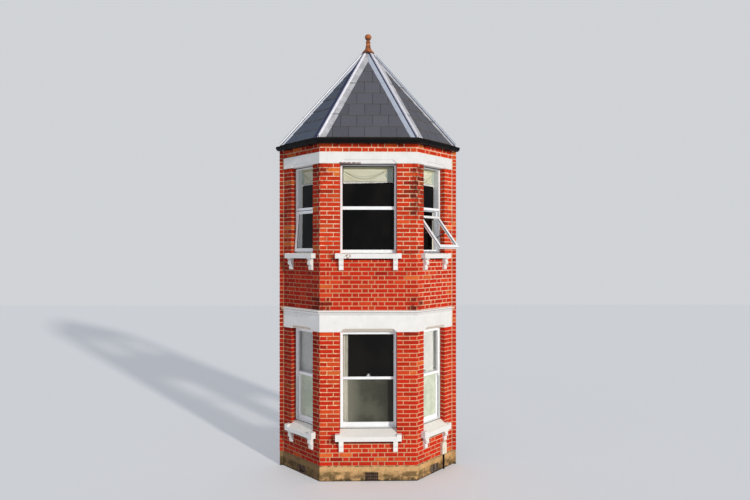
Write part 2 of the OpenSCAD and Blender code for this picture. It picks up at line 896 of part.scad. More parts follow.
// A roof slope over the lower edge a-b, with plumb sides, up to the level top
module slope(a, b) {
  c = up_hip(a);
  d = up_hip(b);
  polyhedron(
    points = [
      [a[0], a[1], eaves_z], [b[0], b[1], eaves_z],
      [d[0], d[1], top_z - roof_t], [c[0], c[1], top_z - roof_t],
      [a[0], a[1], eave_top_z], [b[0], b[1], eave_top_z], [d[0], d[1], top_z], [c[0], c[1], top_z]
    ],
    faces = [[0, 1, 2, 3], [7, 6, 5, 4], [0, 4, 5, 1], [1, 5, 6, 2], [2, 6, 7, 3], [3, 7, 4, 0]]
  );
}

module roof_front() color("#5a5c61") slope([-eave_x, eave_front_y], [eave_x, eave_front_y]);
module roof_sides() color("#5a5c61") both_sides() slope([eave_x, eave_front_y], eave_end);

// The space under the slopes, lowered by drop
module roof_space(drop) {
  z = eaves_z - cut - drop;
  polyhedron(
    points = [
      [-eave_end[0], eave_end[1], z], [-eave_x, eave_front_y, z], [eave_x, eave_front_y, z],
      [eave_end[0], eave_end[1], z], [apex[0], apex[1], apex[2] - roof_t - drop]
    ],
    faces = [[0, 1, 2, 3], [4, 1, 0], [4, 2, 1], [4, 3, 2], [4, 0, 3]]
  );
}

// What a rafter keeps of a plumb board: the band under the slopes, inside the walls
module under_slopes() {
  intersection() {
    children();
    difference() {
      roof_space(frame_gap);
      roof_space(rafter_d);
    }
    slab(bay_plan, eaves_z + frame_gap, apex[2]);
  }
}

// A plumb board from a foot in plan to the king post
module to_king(foot) {
  d = peak - foot;
  translate([foot[0], foot[1], eaves_z]) rotate([0, 0, atan2(d[1], d[0])])
    translate([0, -rafter_w / 2, 0]) cube([norm(d) - king_r - frame_gap, rafter_w, roof_h]);
}

// The plan slopes of the hips against the front and against a side, and the run of a
// jack rafter at x up to its hip, whose face lies half a board off its middle line
front_hip_k = (-eave_front_y - apex_in) / eave_x;
peak_s = (peak - [half_w, -bay_d]) * [cos(cant_angle), sin(cant_angle)];
peak_t = (peak - [half_w, -bay_d]) * [-sin(cant_angle), cos(cant_angle)];
end_s = (eave_end - [half_w, -bay_d]) * [cos(cant_angle), sin(cant_angle)];
side_hip_k = (peak_t + eave_proj) / (end_s - peak_s);
function off_hip(k) = rafter_w / 2 * (k + sqrt(1 + k * k)) + 2 * frame_gap;
function front_run(x) = bay_d - apex_in - front_hip_k * x - off_hip(front_hip_k);
function side_run(s) = side_hip_k * (end_s - s) - eave_proj - off_hip(side_hip_k) - rafter_w;
jack_shares = [0.3, 0.62];

module roof_timbers() {
  color("#a9835a") {
    under_slopes() translate([peak[0], peak[1], eaves_z]) cylinder(h = roof_h, r = king_r, $fn = 12);
    under_slopes() to_king([0, -bay_d]);
    both_sides() {
      under_slopes() to_king([eave_x, eave_front_y]);
      under_slopes() to_king([eave_end[0], eave_end[1] - rafter_w]);
      under_slopes() on_front() translate([rafter_pitch, 0, 0])
        block(-rafter_w / 2, rafter_w / 2, 0, front_run(rafter_pitch), eaves_z, apex[2]);
      for (k = jack_shares) under_slopes() on_right() translate([k * cant_len, 0, 0])
        block(-rafter_w / 2, rafter_w / 2, 0, side_run(k * cant_len), eaves_z, apex[2]);
    }
  }
}

// A triangle of base w whose peak lies at [pu, pv], drawn in from its two upper edges by d
function inset_slope(w, pu, pv, d) = let (
  left = d * norm([pu, pv]) / pv,
  right = d * norm([w - pu, pv]) / pv,
  k = (w - left - right) / w
) [[left, 0], [w - right, 0], [left + pu * k, pv * k]];

// The width left bare of lead over each hip's own line, under its roll
hip_bare = 6;

// The lead wing along one of the two hips of a slope with the lower edge a-b: the hip
// over a for end = 0 and the hip over b for end = 1
module wing(a, b, end) {
  w = norm(b - a);
  along = (b - a) / w;
  to_peak = peak - a;
  pu = to_peak * along;
  run = norm(to_peak - pu * along);
  rise = apex[2] - eave_top_z;
  pv = norm([run, rise]);
  inner = inset_slope(w, pu, pv, lead_w);
  up_middle = [pu - w / 2, pv];
  translate([a[0], a[1], eave_top_z]) rotate([0, 0, atan2(along[1], along[0])])
    rotate([atan2(rise, run), 0, 0]) linear_extrude(lead_t) difference() {
      polygon(inset_slope(w, pu, pv, hip_bare));
      polygon(concat(inner, [inner[0] - [0, cut]]));
      translate([-w, pv * top_share]) square([3 * w, pv]);
      translate([-w, -cut]) square([3 * w, 2 * cut]);
      polygon([for (p = [[0, 0], [0, 1], [1, 1], [1, 0]]) [w / 2, 0] + up_middle * (3 * p[1] - 1)
        + [end == 0 ? 3 * w * p[0] - cut : cut - 3 * w * p[0], 0]]);
    }
}

// A roll of lead over a hip between its foot a and the level top
module hip_roll(a) {
  foot = [a[0], a[1], eave_top_z];
  d = apex - foot;
  translate(foot) rotate([0, 0, atan2(d[1], d[0])]) rotate([0, 90 - atan2(d[2], norm([d[0], d[1]])), 0])
    translate([0, 0, roll_r]) cylinder(h = norm(d) - roll_r, r = roll_r, $fn = 12);
}

// What is left of a hip's lead over the slopes and under the finial
module over_slopes() {
  a = up_hip([eave_x, eave_front_y]);
  b = up_hip(eave_end);
  difference() {
    union() children();
    roof_front();
    roof_sides();
    slab([[-b[0], b[1]], [-a[0], a[1]], a, b], top_z - 2 * roof_t, top_z + cut);
    block(-reach, reach, apex[1] - reach, apex[1] + reach, top_z, top_z + 2 * finial_drop);
  }
}

module hip_leads() {
  front_foot = [eave_x, eave_front_y];
  color(lead_colour) both_sides() {
    over_slopes() {
      wing([-eave_x, eave_front_y], front_foot, 1);
      wing(front_foot, eave_end, 0);
      hip_roll(front_foot);
    }
    over_slopes() {
      wing(front_foot, eave_end, 1);
      hip_roll([eave_end[0], eave_end[1] - roll_r]);
    }
  }
}

// Turned clay finial: [radius, height] as shares of the foot's radius and of the whole
// height, from the flared foot up the shaft to the collar and the neck
finial_turning = [
  [0, 0], [1, 0], [0.96, 0.03], [0.91, 0.055], [0.78, 0.122], [0.62, 0.165], [0.54, 0.2], [0.43, 0.287]
];
collar_z = 0.56;
collar_top = 0.615;
collar_share = 1.22;
neck_z = 0.68;
neck_share = 0.85;
knob_z = 0.84;
knob_foot_share = 0.8;
knob_steps = 8;
module finial() {
  r = finial_d / 2;
  shaft_r = shaft_d / 2;
  knob_r = knob_d / 2;
  turning = [for (p = finial_turning) [r * p[0], finial_h * p[1]]];
  color("#b5653a") translate([apex[0], apex[1], top_z + frame_gap]) rotate_extrude($fn = 72) polygon(concat(
    turning,
    [[shaft_r, finial_h * collar_z], [shaft_r * collar_share, finial_h * collar_z],
     [shaft_r * collar_share, finial_h * collar_top], [shaft_r * neck_share, finial_h * collar_top],
     [shaft_r * neck_share, finial_h * neck_z],
     [knob_r * knob_foot_share, finial_h * (neck_z + knob_z) / 2]],
    [for (i = [0:knob_steps - 1]) let (a = 90 * i / knob_steps)
      [knob_r * cos(a), finial_h * (knob_z + (1 - knob_z) * sin(a))]],
    [[0, finial_h]]
  ));
}

// Boards that close the eaves behind the gutter
fascia_section = [
  [-fascia_board_t - frame_gap, eaves_z - fascia_lap], [-frame_gap, eaves_z - fascia_lap],
  [-frame_gap, eaves_z + fascia_up], [-fascia_board_t - frame_gap, eaves_z + fascia_up]
];
module fascia_boards() {
  color("#5b4436") {
    on_front() front_mitre(fascia_section);
    on_sides() intersection() {
      bar(fascia_section, -reach, cant_len);
      side_region();
    }
  }
}

// Gutter along the three facets: a half round with an upright front rim, closed at both ends
gutter_y = -gutter_out - gutter_r;
gutter_z = eaves_z + gutter_up;
gutter_steps = 12;
gutter_past = 60;
gutter_end = cant_len + gutter_past;
gutter_rim_z = gutter_z + gutter_rim_h;
function gutter_line(r, top) = concat(
  top > gutter_z ? [[gutter_y - r, top]] : [],
  [for (i = [0:gutter_steps]) let (a = 180 * i / gutter_steps)
    [gutter_y - r * cos(a), gutter_z - r * sin(a)]]
);
function flipped(line) = [for (i = [len(line) - 1:-1:0]) line[i]];
function gutter_ring(r, t, top) = concat(gutter_line(r, top), flipped(gutter_line(r - t, top)));
gutter_section = gutter_ring(gutter_r, gutter_t, gutter_rim_z);
sleeve_share = 0.9;

module gutter() {
  color(black_paint) union() {
    on_front() front_mitre(gutter_section);
    on_front() for (x = [-1, 1]) translate([x * half_w * sleeve_share, 0, 0])
      bar(gutter_ring(gutter_r + strap_t, strap_t + cut, gutter_z), -sleeve_w / 2, sleeve_w / 2);
    both_sides() {
      on_right() intersection() {
        bar(gutter_section, -reach, gutter_end);
        side_region();
      }
      difference() {
        on_right() bar(gutter_line(gutter_r, gutter_rim_z), gutter_end - gutter_t, gutter_end);
        translate([0, 0, -frame_gap]) slope([eave_x, eave_front_y], eave_end);
      }
    }
  }
}

// A strap under the gutter on an arm from the wall
module gutter_bracket() {
  r = gutter_r + frame_gap;
  z = gutter_z - r;
  union() {
    bar(gutter_ring(r + strap_t, strap_t, gutter_z), -strap_w / 2, strap_w / 2);
    block(-strap_w / 2, strap_w / 2, gutter_y, -frame_gap, z - 2 * strap_t, z - strap_t / 2);
  }
}
front_bracket_share = 0.62;
side_bracket_shares = [0.2, 0.8];

module gutter_brackets() {
  color(black_paint) {
    on_front() for (x = [-1, 0, 1]) translate([x * half_w * front_bracket_share, 0, 0]) gutter_bracket();
    on_sides() for (k = side_bracket_shares) translate([k * cant_len, 0, 0]) gutter_bracket();
  }
}

// Floors, ceiling, the wall under the ground floor and the beams over the room openings
function back_strip(t) = [
  [t - inner_back_x, -t], [inner_back_x - t, -t], [inner_back_x, 0], [-inner_back_x, 0]
];
module sleeper_wall() color(brick_colour) slab(back_strip(sleeper_t), 0, floor_z - floor_t);
module ground_floor() color("#c39a63") slab(room_plan, floor_z - floor_t, floor_z);
module first_floor() color("#c39a63") slab(room_plan, upper_floor_z - upper_floor_t, upper_floor_z);
module ceiling() color("#efece4") slab(room_plan, eaves_z - ceiling_t, eaves_z);

module beams() {
  color("#c9a877") for (z = [upper_floor_z - upper_floor_t, eaves_z - ceiling_t])
    slab(back_strip(beam_d), z - beam_h, z);
}

// Painted boards on the backs of the sills, cut off at the wall plane
module window_board(w, z) {
  half = w / 2 + check_w - frame_gap;
  block(-half, half, wall_t - board_proj + frame_gap, wall_t + board_proj, z - board_t, z);
}

module window_boards() {
  color(white_paint) for (z = [lower_sill_top, upper_sill_top]) intersection() {
    union() {
      on_front() window_board(front_open_w, z);
      in_sides() window_board(side_open_w, z);
    }
    slab(bay_plan, 0, eaves_z);
  }
}

// Gathered blinds hung at the heads of the first-floor windows
module blind(w) {
  half = w / 2 - jamb_w - blind_in;
  z = upper_head_z - head_h - frame_gap;
  block(-half, half, frame_back - blind_in - blind_t, frame_back - blind_in, z - blind_drop, z);
}

module blinds() {
  color("#e7dcc4") {
    on_front() blind(front_open_w);
    in_sides() blind(side_open_w);
  }
}

// The front window's drawn curtain, from the floor to its head
curtain_y = wall_t + board_proj + frame_gap;
module curtain() {
  x = blind_in - front_open_w / 2;
  block(x, x + curtain_w, curtain_y, curtain_y + curtain_t, floor_z + blind_in, lower_head_z);
}

// A curtain at the outer jamb of a first-floor side window, down to the window board
strip_past = 31;
module curtain_strip() {
  x = side_open_w / 2 + strip_past;
  y = frame_back + frame_gap;
  block(x - strip_w, x, y, y + strip_t, upper_sill_top + blind_in, upper_head_z - head_h);
}

// A net behind the top sash of a ground-floor side window
module net() {
  half = side_open_w / 2 - blind_in;
  y = frame_back + frame_gap;
  block(-half, half, y, y + net_t, meeting_z - meeting_h, sash_z1);
}

module curtains() {
  color("#d8cfbc") {
    on_front() curtain();
    in_sides() curtain_strip();
    in_sides() net();
  }
}

// A small service box on the right-hand side, with its conduit down to the ground
arch_steps = 12;
conduit_off = 3;
module service_box() {
  spring = box_h - box_arch;
  color("#dcdcd8") on_right() translate([box_s, -frame_gap, box_z]) rotate([90, 0, 0]) linear_extrude(box_d)
    polygon(concat(
      [[-box_w / 2, 0], [box_w / 2, 0]],
      [for (i = [0:arch_steps]) let (a = 180 * i / arch_steps)
        [box_w / 2 * cos(a), spring + box_arch * sin(a)]]
    ));
}

module conduit() {
  r = conduit_d / 2;
  color(black_paint) on_right()
    translate([box_s, -plinth_proj - r - conduit_off, 0]) cylinder(h = box_z - frame_gap, r = r, $fn = 24);
}

plinth_front();
plinth_sides();
airbricks();
lower_wall_front();
lower_wall_sides();
lower_corner_piers();
lower_end_piers();
lower_sills();
lower_brackets();
lower_frames();
top_sashes();
bottom_sashes();
sash_catches();
lower_glass();
cornice_front();
cornice_sides();
upper_wall_front();
upper_wall_sides();
upper_corner_piers();
upper_end_piers();
upper_sills();
upper_brackets();
upper_frames();
casements();
upper_glass();
lintel_front();
lintel_sides();
eaves_wall_front();
eaves_wall_sides();
roof_front();
roof_sides();
roof_timbers();
hip_leads();
finial();
fascia_boards();
gutter();
gutter_brackets();
sleeper_wall();
ground_floor();
first_floor();
ceiling();
beams();
window_boards();
blinds();
curtains();
service_box();
conduit();
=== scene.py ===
import json
import math
import random

import bpy
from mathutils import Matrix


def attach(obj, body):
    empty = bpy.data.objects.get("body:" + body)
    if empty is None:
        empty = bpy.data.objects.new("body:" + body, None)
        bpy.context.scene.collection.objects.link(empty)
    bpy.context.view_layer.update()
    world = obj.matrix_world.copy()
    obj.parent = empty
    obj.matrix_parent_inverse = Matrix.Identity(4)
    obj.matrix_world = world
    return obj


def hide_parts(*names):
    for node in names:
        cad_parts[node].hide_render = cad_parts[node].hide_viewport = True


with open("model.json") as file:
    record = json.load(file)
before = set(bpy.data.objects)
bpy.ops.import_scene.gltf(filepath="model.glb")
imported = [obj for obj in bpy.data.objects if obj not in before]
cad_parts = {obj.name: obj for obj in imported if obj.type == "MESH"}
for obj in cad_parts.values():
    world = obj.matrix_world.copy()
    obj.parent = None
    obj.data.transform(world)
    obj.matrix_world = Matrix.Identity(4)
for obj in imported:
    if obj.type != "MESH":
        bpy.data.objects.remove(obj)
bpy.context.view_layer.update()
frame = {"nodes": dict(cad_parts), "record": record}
nodes = frame["nodes"]
rnd = random.Random(7)

# The bay's plan, as in the solids: the front's half width and how far it stands out, the outer face,
# depth and inner end of the nibs at the wall, the reveals, and half the front window's width
FRONT, DEEP = 0.84, 0.777
NIB, NIB_D, END = 1.647, 0.05, 1.567
REVEAL, HALF = 0.1, 0.5

# The cants stand at 45 degrees: their length, and a side window's near end, far end and middle on them
C = math.cos(math.radians(45))
CANT = 1.0281
SIDE_NEAR, SIDE_FAR = 0.187, 0.807
MID = (SIDE_NEAR + SIDE_FAR) / 2

# Where masks fade in: x on the left and the right cant, its size at the side windows, and z between
# the two rows of windows
LEFT_CANT, RIGHT_CANT = (-0.86, -0.84), (0.86, 0.88)
SIDE_WINDOWS, BETWEEN_ROWS = (0.62, 0.64), (3.1, 3.15)

# Levels of the brickwork, from the plinth's top to the eaves, and one course of it
PLINTH, LOWER_SILL, LOWER_HEAD, BAND_TOP = 0.260, 0.715, 2.586, 2.963
UPPER_SILL, UPPER_HEAD, LINTEL_TOP, EAVES = 3.863, 5.515, 5.715, 5.865
COURSE = 0.0752

# The roof: the level of its foot, the foot's corner at the front and at the wall, and its apex
ROOF_FOOT = 5.955
CORNER = (0.86485, -0.837)
WALL_CORNER = (NIB, CORNER[1] + NIB - CORNER[0])
APEX = (0.0, -0.13, 7.759)

# Camera, at the photograph's angle
cam_data = bpy.data.cameras.new("camera")
cam = bpy.data.objects.new("camera", cam_data)
bpy.context.scene.collection.objects.link(cam)
cam.location = (-0.065, -10.157, 3.975)
cam.rotation_euler = (math.radians(90), 0, math.radians(-1.10))
cam_data.lens = 25.92
cam_data.sensor_width = 36
cam_data.shift_y = 2 / 750
bpy.context.scene.camera = cam
bpy.context.scene.view_settings.view_transform = "Standard"


def add(nt, kind, ins=None, **props):
    """A node with its inputs linked or set."""
    n = nt.nodes.new(kind)
    for k, v in props.items():
        setattr(n, k, v)
    for k, v in (ins or {}).items():
        if isinstance(v, bpy.types.NodeSocket):
            nt.links.new(v, n.inputs[k])
        else:
            n.inputs[k].default_value = v
    return n


class Look:
    """A Principled material built up from a few kinds of node."""

    def __init__(self, name, rough=0.7):
        self.m = bpy.data.materials.new(name)
        self.m.use_nodes = True
        self.nt = self.m.node_tree
        self.b = self.nt.nodes["Principled BSDF"]
        self.b.inputs["Roughness"].default_value = rough
        self.pos = add(self.nt, "ShaderNodeTexCoord").outputs["Object"]
        self.x, self.y, self.z = self.split(self.pos)
        self.nx, self.ny, self.nz = self.split(self.node("NewGeometry").outputs["Normal"])

    def node(self, kind, ins=None, **props):
        return add(self.nt, "ShaderNode" + kind, ins, **props)

    def split(self, v):
        out = self.node("SeparateXYZ", {0: v}).outputs
        return out["X"], out["Y"], out["Z"]

    def vector(self, op, a, b=None):
        return self.node("VectorMath", {0: a} if b is None else {0: a, 1: b}, operation=op).outputs

    def noise(self, scale, detail=4, rough=0.6, stretch=None):
        vec = self.pos
        if stretch:
            vec = self.vector("MULTIPLY", vec, stretch)[0]
        ins = {"Vector": vec, "Scale": scale, "Detail": detail, "Roughness": rough}
        return self.node("TexNoise", ins).outputs[0]

    def span(self, v, a, b, lo=0.0, hi=1.0):
        """From lo at a to hi at b, smoothly."""
        ins = {0: v, 1: a, 2: b, 3: lo, 4: hi}
        return self.node("MapRange", ins, interpolation_type="SMOOTHSTEP").outputs[0]

    def calc(self, op, a, b=0.0, clamp=False):
        return self.node("Math", {0: a, 1: b}, operation=op, use_clamp=clamp).outputs[0]

    def times(self, a, b):
        return self.calc("MULTIPLY", a, b)

    def plus(self, a, b):
        return self.calc("ADD", a, b)

    def minus(self, a, b, clamp=False):
        return self.calc("SUBTRACT", a, b, clamp)

    def invert(self, v):
        return self.minus(1.0, v)

    def larger(self, a, b):
        return self.calc("MAXIMUM", a, b)

    def absolute(self, v):
        return self.calc("ABSOLUTE", v)

    def fract(self, v):
        return self.calc("FRACT", v)

    def mix(self, f, a, b, blend="MIX"):
        a = (*a, 1) if isinstance(a, tuple) else a
        b = (*b, 1) if isinstance(b, tuple) else b
        return self.node("Mix", {0: f, 6: a, 7: b}, data_type="RGBA", blend_type=blend).outputs[2]

    def near(self, p, r0, r1):
        """1 within r0 of the point p, and 0 beyond r1."""
        return self.below(self.vector("DISTANCE", self.pos, p)["Value"], r0, r1)

    def below(self, v, a, b, amount=1.0):
        """The amount up to a, and nothing past b."""
        return self.span(v, a, b, amount, 0.0)

    def off_line(self, a, b):
        """Distance from the line a-b or its mirror image in X."""
        length = math.dist(a, b)
        p = self.node("CombineXYZ", {0: self.absolute(self.x), 1: self.y, 2: self.z}).outputs[0]
        unit = tuple((q - o) / length for o, q in zip(a, b))
        cross = self.vector("CROSS_PRODUCT", self.vector("SUBTRACT", p, a)[0], unit)[0]
        return self.vector("LENGTH", cross)["Value"]

    def between(self, v, a, b, soft):
        """1 from a to b, and 0 further out than soft."""
        return self.times(self.span(v, a - soft, a), self.below(v, b, b + soft))

    def along_cant(self, x):
        """Distance along a cant from its corner with the front; x is the right side's, or its size."""
        return self.times(self.plus(self.minus(x, FRONT), self.plus(self.y, DEEP)), C)

    def into_cant(self, x):
        """Depth behind a cant's face, with x as above."""
        return self.times(self.plus(self.minus(FRONT, x), self.plus(self.y, DEEP)), C)

    def indoors(self):
        """Faces that look into the rooms, short of the cut in the wall plane."""
        return self.times(self.span(self.ny, 0.4, 0.6), self.below(self.y, -0.004, -0.002))

    def attr(self, name):
        return self.node("Attribute", attribute_name=name).outputs["Color"]

    def bump(self, h, strength, distance=0.002):
        n = self.node("Bump", {"Height": h, "Strength": strength, "Distance": distance})
        self.put("Normal", n.outputs[0])

    def colour(self, c):
        self.put("Base Color", (*c, 1) if isinstance(c, tuple) else c)

    def put(self, name, v):
        if isinstance(v, bpy.types.NodeSocket):
            self.nt.links.new(v, self.b.inputs[name])
        else:
            self.b.inputs[name].default_value = v


def rgb(r, g, b):
    """sRGB 0-255 to linear."""
    return tuple((c / 255 / 12.92) if c <= 10 else ((c / 255 + 0.055) / 1.055) ** 2.4 for c in (r, g, b))


# Sooty places on the masonry, and painted shadow by the sills' ends: centre, inner and outer radius,
# strength
SOOT_AND_SHADOW = [
    ((0.90, -0.73, 5.45), 0.12, 0.21, 1.0), ((0.90, -0.73, 5.28), 0.12, 0.21, 1.0),
    ((0.90, -0.73, 5.11), 0.12, 0.21, 0.9), ((0.90, -0.73, 4.94), 0.12, 0.21, 0.9),
    ((0.90, -0.73, 4.78), 0.12, 0.21, 0.8), ((0.90, -0.73, 4.66), 0.12, 0.21, 0.6),
    ((0.84, -0.80, 3.02), 0.05, 0.26, 1.0), ((-0.84, -0.80, 3.02), 0.04, 0.24, 1.0),
    ((-0.84, -0.80, 5.44), 0.08, 0.26, 1.0), ((-0.84, -0.80, 5.24), 0.04, 0.16, 0.9),
    ((-0.86, -0.76, 5.0), 0.03, 0.12, 0.7), ((-0.60, -0.79, 3.90), 0.03, 0.14, 1.0),
    ((0.60, -0.79, 3.97), 0.02, 0.1, 0.7), ((1.05, -0.57, 3.93), 0.03, 0.18, 0.7),
    ((0.66, -0.79, 2.55), 0.02, 0.16, 0.6), ((-0.62, -0.79, 0.70), 0.04, 0.13, 1.0),
    ((0.62, -0.79, 0.76), 0.02, 0.09, 0.7),
]


def soot_and_shadow_mask(k):
    """The sooty places and painted shadows, broken up by noise."""
    total = None
    for p, r0, r1, s in SOOT_AND_SHADOW:
        v = k.times(k.near(p, r0, r1), s)
        total = v if total is None else k.larger(total, v)
    return k.times(total, k.span(k.noise(14, 5), 0.38, 0.58))


def painted_sill_shadow(k):
    """Painted shadow on the masonry close under the sills."""
    x = k.absolute(k.x)
    on_cant = k.between(k.along_cant(x), SIDE_NEAR - 0.06, SIDE_FAR + 0.06, 0.01)
    along = k.times(k.span(x, *RIGHT_CANT), on_cant)
    along = k.larger(along, k.below(x, HALF + 0.06, HALF + 0.07))
    z = k.larger(k.between(k.z, 3.84, 3.866, 0.006), k.between(k.z, 0.648, 0.718, 0.006))
    return k.times(k.times(z, along), k.span(k.noise(9, 4), 0.2, 0.4))


# Looks. Each starts with its plain colours, and the stains, lines and painted light and shade follow.
# The colour of the painted shadow under the sills.
SILL_SHADOW = rgb(34, 18, 14)

k = Look("brick_faces", 0.86)
tint = k.attr("tint")
body = k.mix(k.span(k.noise(9, 3), 0.3, 0.7, 0.0, 0.35), tint, rgb(180, 30, 12))
body = k.mix(k.span(k.noise(60, 5), 0.45, 0.72, 0.0, 0.22), body, rgb(226, 112, 62))
body = k.mix(k.span(k.noise(120, 3), 0.55, 0.75, 0.0, 0.5), body, rgb(104, 16, 10))
# The left cant darker: painted shade.
body = k.mix(k.below(k.x, *LEFT_CANT, 0.42), body, rgb(104, 5, 4))
# Soot, and painted shadow by the sills' ends.
body = k.mix(k.times(soot_and_shadow_mask(k), 0.45), body, rgb(44, 16, 12))
# Painted shadow under the sills.
body = k.mix(k.times(painted_sill_shadow(k), 0.8), body, SILL_SHADOW)
k.colour(body)
k.put("Specular IOR Level", 0.15)
k.bump(k.noise(170, 5, 0.7), 0.55, 0.0025)
BRICK = k.m

# Mortar outside, plaster inside, and cut brickwork on the faces in the wall plane
BRICK_LENGTH = 0.2285
k = Look("mortar_and_plaster", 0.92)
pointing = k.mix(k.span(k.z, 2.4, 2.8), rgb(226, 176, 138), rgb(244, 214, 180))
pointing = k.mix(k.span(k.noise(24, 5), 0.35, 0.65, 0.0, 0.6), pointing, rgb(190, 134, 98))
bloom = k.times(k.near((-0.68, -0.78, 1.75), 0.3, 0.9), k.below(k.x, -0.5, -0.48))
bloom = k.times(bloom, k.span(k.noise(13, 5), 0.5, 0.58))
pointing = k.mix(k.times(bloom, 0.8), pointing, rgb(250, 226, 170))
middle = k.between(k.z, 2.95, 3.84, 0.06)
pointing = k.mix(k.times(middle, k.span(k.x, 0.86, 1.0, 0.75, 0.2)), pointing, rgb(206, 138, 100))
dark_joint = k.times(k.span(k.noise(3.1, 3), 0.5, 0.64), k.span(k.z, 3.4, 3.55))
pointing = k.mix(k.times(dark_joint, 0.3), pointing, rgb(96, 70, 58))
low = k.below(k.z, 0.25, 0.62, 0.7)
pointing = k.mix(k.times(low, k.span(k.noise(8, 4), 0.3, 0.5)), pointing, rgb(160, 142, 112))
# The left cant darker: painted shade.
pointing = k.mix(k.below(k.x, *LEFT_CANT, 0.5), pointing, rgb(112, 78, 64))
# Soot, and painted shadow by the sills' ends.
pointing = k.mix(k.times(soot_and_shadow_mask(k), 0.8), pointing, rgb(84, 50, 38))
# Painted shadow under the sills.
pointing = k.mix(k.times(painted_sill_shadow(k), 0.9), pointing, SILL_SHADOW)
plaster = k.mix(k.noise(3, 4), rgb(226, 220, 206), rgb(238, 234, 224))
course_no = k.calc("DIVIDE", k.z, COURSE)
bed = k.fract(course_no)
shift = k.times(k.calc("MODULO", k.calc("FLOOR", course_no), 2.0), 0.5)
along = k.plus(k.calc("DIVIDE", k.x, BRICK_LENGTH), shift)
joint = k.larger(k.below(bed, 0.15, 0.17), k.below(k.fract(along), 0.05, 0.06))
number = k.plus(k.times(k.calc("FLOOR", course_no), 7.31), k.times(k.calc("FLOOR", along), 3.17))
shade_no = k.fract(k.times(k.calc("SINE", number), 43.7))
cut_brick = k.mix(shade_no, rgb(196, 70, 38), rgb(224, 112, 60))
cut_brick = k.mix(k.span(k.noise(60, 5), 0.4, 0.7, 0.0, 0.4), cut_brick, rgb(150, 40, 22))
cut_wall = k.mix(joint, cut_brick, pointing)
back = k.times(k.span(k.ny, 0.9, 0.95), k.span(k.y, -0.004, -0.002))
pointing = k.mix(back, pointing, cut_wall)
k.colour(k.mix(k.indoors(), pointing, plaster))
k.put("Specular IOR Level", 0.15)
k.bump(k.noise(140, 4), 0.5, 0.002)
MORTAR = k.m

k = Look("plinth_render", 0.9)
moss = k.times(k.below(k.z, 0.01, 0.2), k.span(k.noise(11, 6), 0.3, 0.62))
c = k.mix(k.noise(11, 6), rgb(222, 178, 124), rgb(190, 150, 100))
c = k.mix(k.span(k.noise(30, 4), 0.55, 0.7, 0.0, 0.5), c, rgb(240, 208, 160))
c = k.mix(k.span(k.noise(5, 4), 0.5, 0.64, 0.0, 0.4), c, rgb(136, 114, 72))
belt = k.times(k.between(k.z, 0.09, 0.15, 0.03), k.span(k.noise(6, 5), 0.42, 0.56))
c = k.mix(k.times(belt, 0.75), c, rgb(92, 76, 42))
c = k.mix(moss, c, rgb(72, 60, 38))
c = k.mix(k.below(k.z, 0.008, 0.02, 0.8), c, rgb(34, 28, 20))
# The left cant darker: painted shade, with dirt.
c = k.mix(k.below(k.x, *LEFT_CANT, 0.72), c, rgb(62, 50, 32))
c = k.mix(k.span(k.x, 0.9, 1.1), c, (0.9, 0.85, 0.78), "MULTIPLY")
c = k.mix(k.times(k.span(k.z, 0.235, 0.262), k.span(k.noise(16, 3), 0.4, 0.6)), c, rgb(90, 78, 56))
k.colour(c)
k.put("Specular IOR Level", 0.2)
k.bump(k.noise(90, 6, 0.7), 0.6, 0.003)
RENDER = k.m

k = Look("painted_stone", 0.55)
c = k.mix(k.span(k.noise(5, 5), 0.35, 0.7), rgb(240, 238, 235), rgb(232, 230, 226))
c = k.mix(k.span(k.noise(16, 4, 0.6, (1, 1, 0.12)), 0.55, 0.75, 0.0, 0.12), c, rgb(176, 168, 158))
c = k.mix(k.span(k.noise(45, 5, 0.7), 0.66, 0.74, 0.0, 0.3), c, rgb(150, 138, 124))
top = k.span(k.nz, 0.3, 0.8)
# Upward faces whiter: painted light.
c = k.mix(top, c, rgb(255, 252, 243))
c = k.mix(k.times(top, k.span(k.noise(12, 5), 0.4, 0.7, 0.0, 0.08)), c, rgb(158, 150, 132))
# Dark lines under the cornice's fillet and along the top of the fascia below it: painted shadow.
c = k.mix(k.between(k.z, 2.929, 2.936, 0.003), c, rgb(150, 144, 140))
c = k.mix(k.times(k.between(k.z, 2.878, 2.882, 0.003), 0.4), c, rgb(150, 144, 140))
rust = k.times(k.near((-0.36, -0.88, 3.905), 0.02, 0.12), k.span(k.noise(34, 4), 0.5, 0.6))
c = k.mix(rust, c, rgb(146, 92, 52))
strip = k.times(k.between(k.x, -0.5, -0.14, 0.02), k.between(k.z, 5.512, 5.53, 0.006))
c = k.mix(k.times(strip, k.span(k.noise(40, 5), 0.4, 0.5)), c, rgb(120, 92, 80))
# The band's downward splay pinkish grey, with a darker line across it: painted shade.
tilted = k.between(k.nz, -0.9, -0.45, 0.06)
splayed = k.times(tilted, k.between(k.z, 2.58, 2.66, 0.004))
soffit = k.mix(k.between(k.z, 2.616, 2.622, 0.004), rgb(238, 229, 214), rgb(160, 142, 132))
c = k.mix(splayed, c, soffit)
nib = k.times(k.span(k.absolute(k.x), 1.5665, 1.5675), k.span(k.z, 2.5, 2.51))
# Faces turned to the right a tenth darker: painted shade.
c = k.mix(k.span(k.nx, 0.5, 0.6), c, (0.9, 0.9, 0.9), "MULTIPLY")
c = k.mix(nib, c, rgb(214, 170, 136))
c = k.mix(k.times(k.indoors(), k.span(k.z, 2.58, 2.59)), c, rgb(230, 225, 212))
k.colour(c)
k.bump(k.noise(70, 5), 0.25, 0.0015)
STONE = k.m


# The hung lights' hinges lie this deep behind the cant's face
HINGE_DEPTH = 0.1153


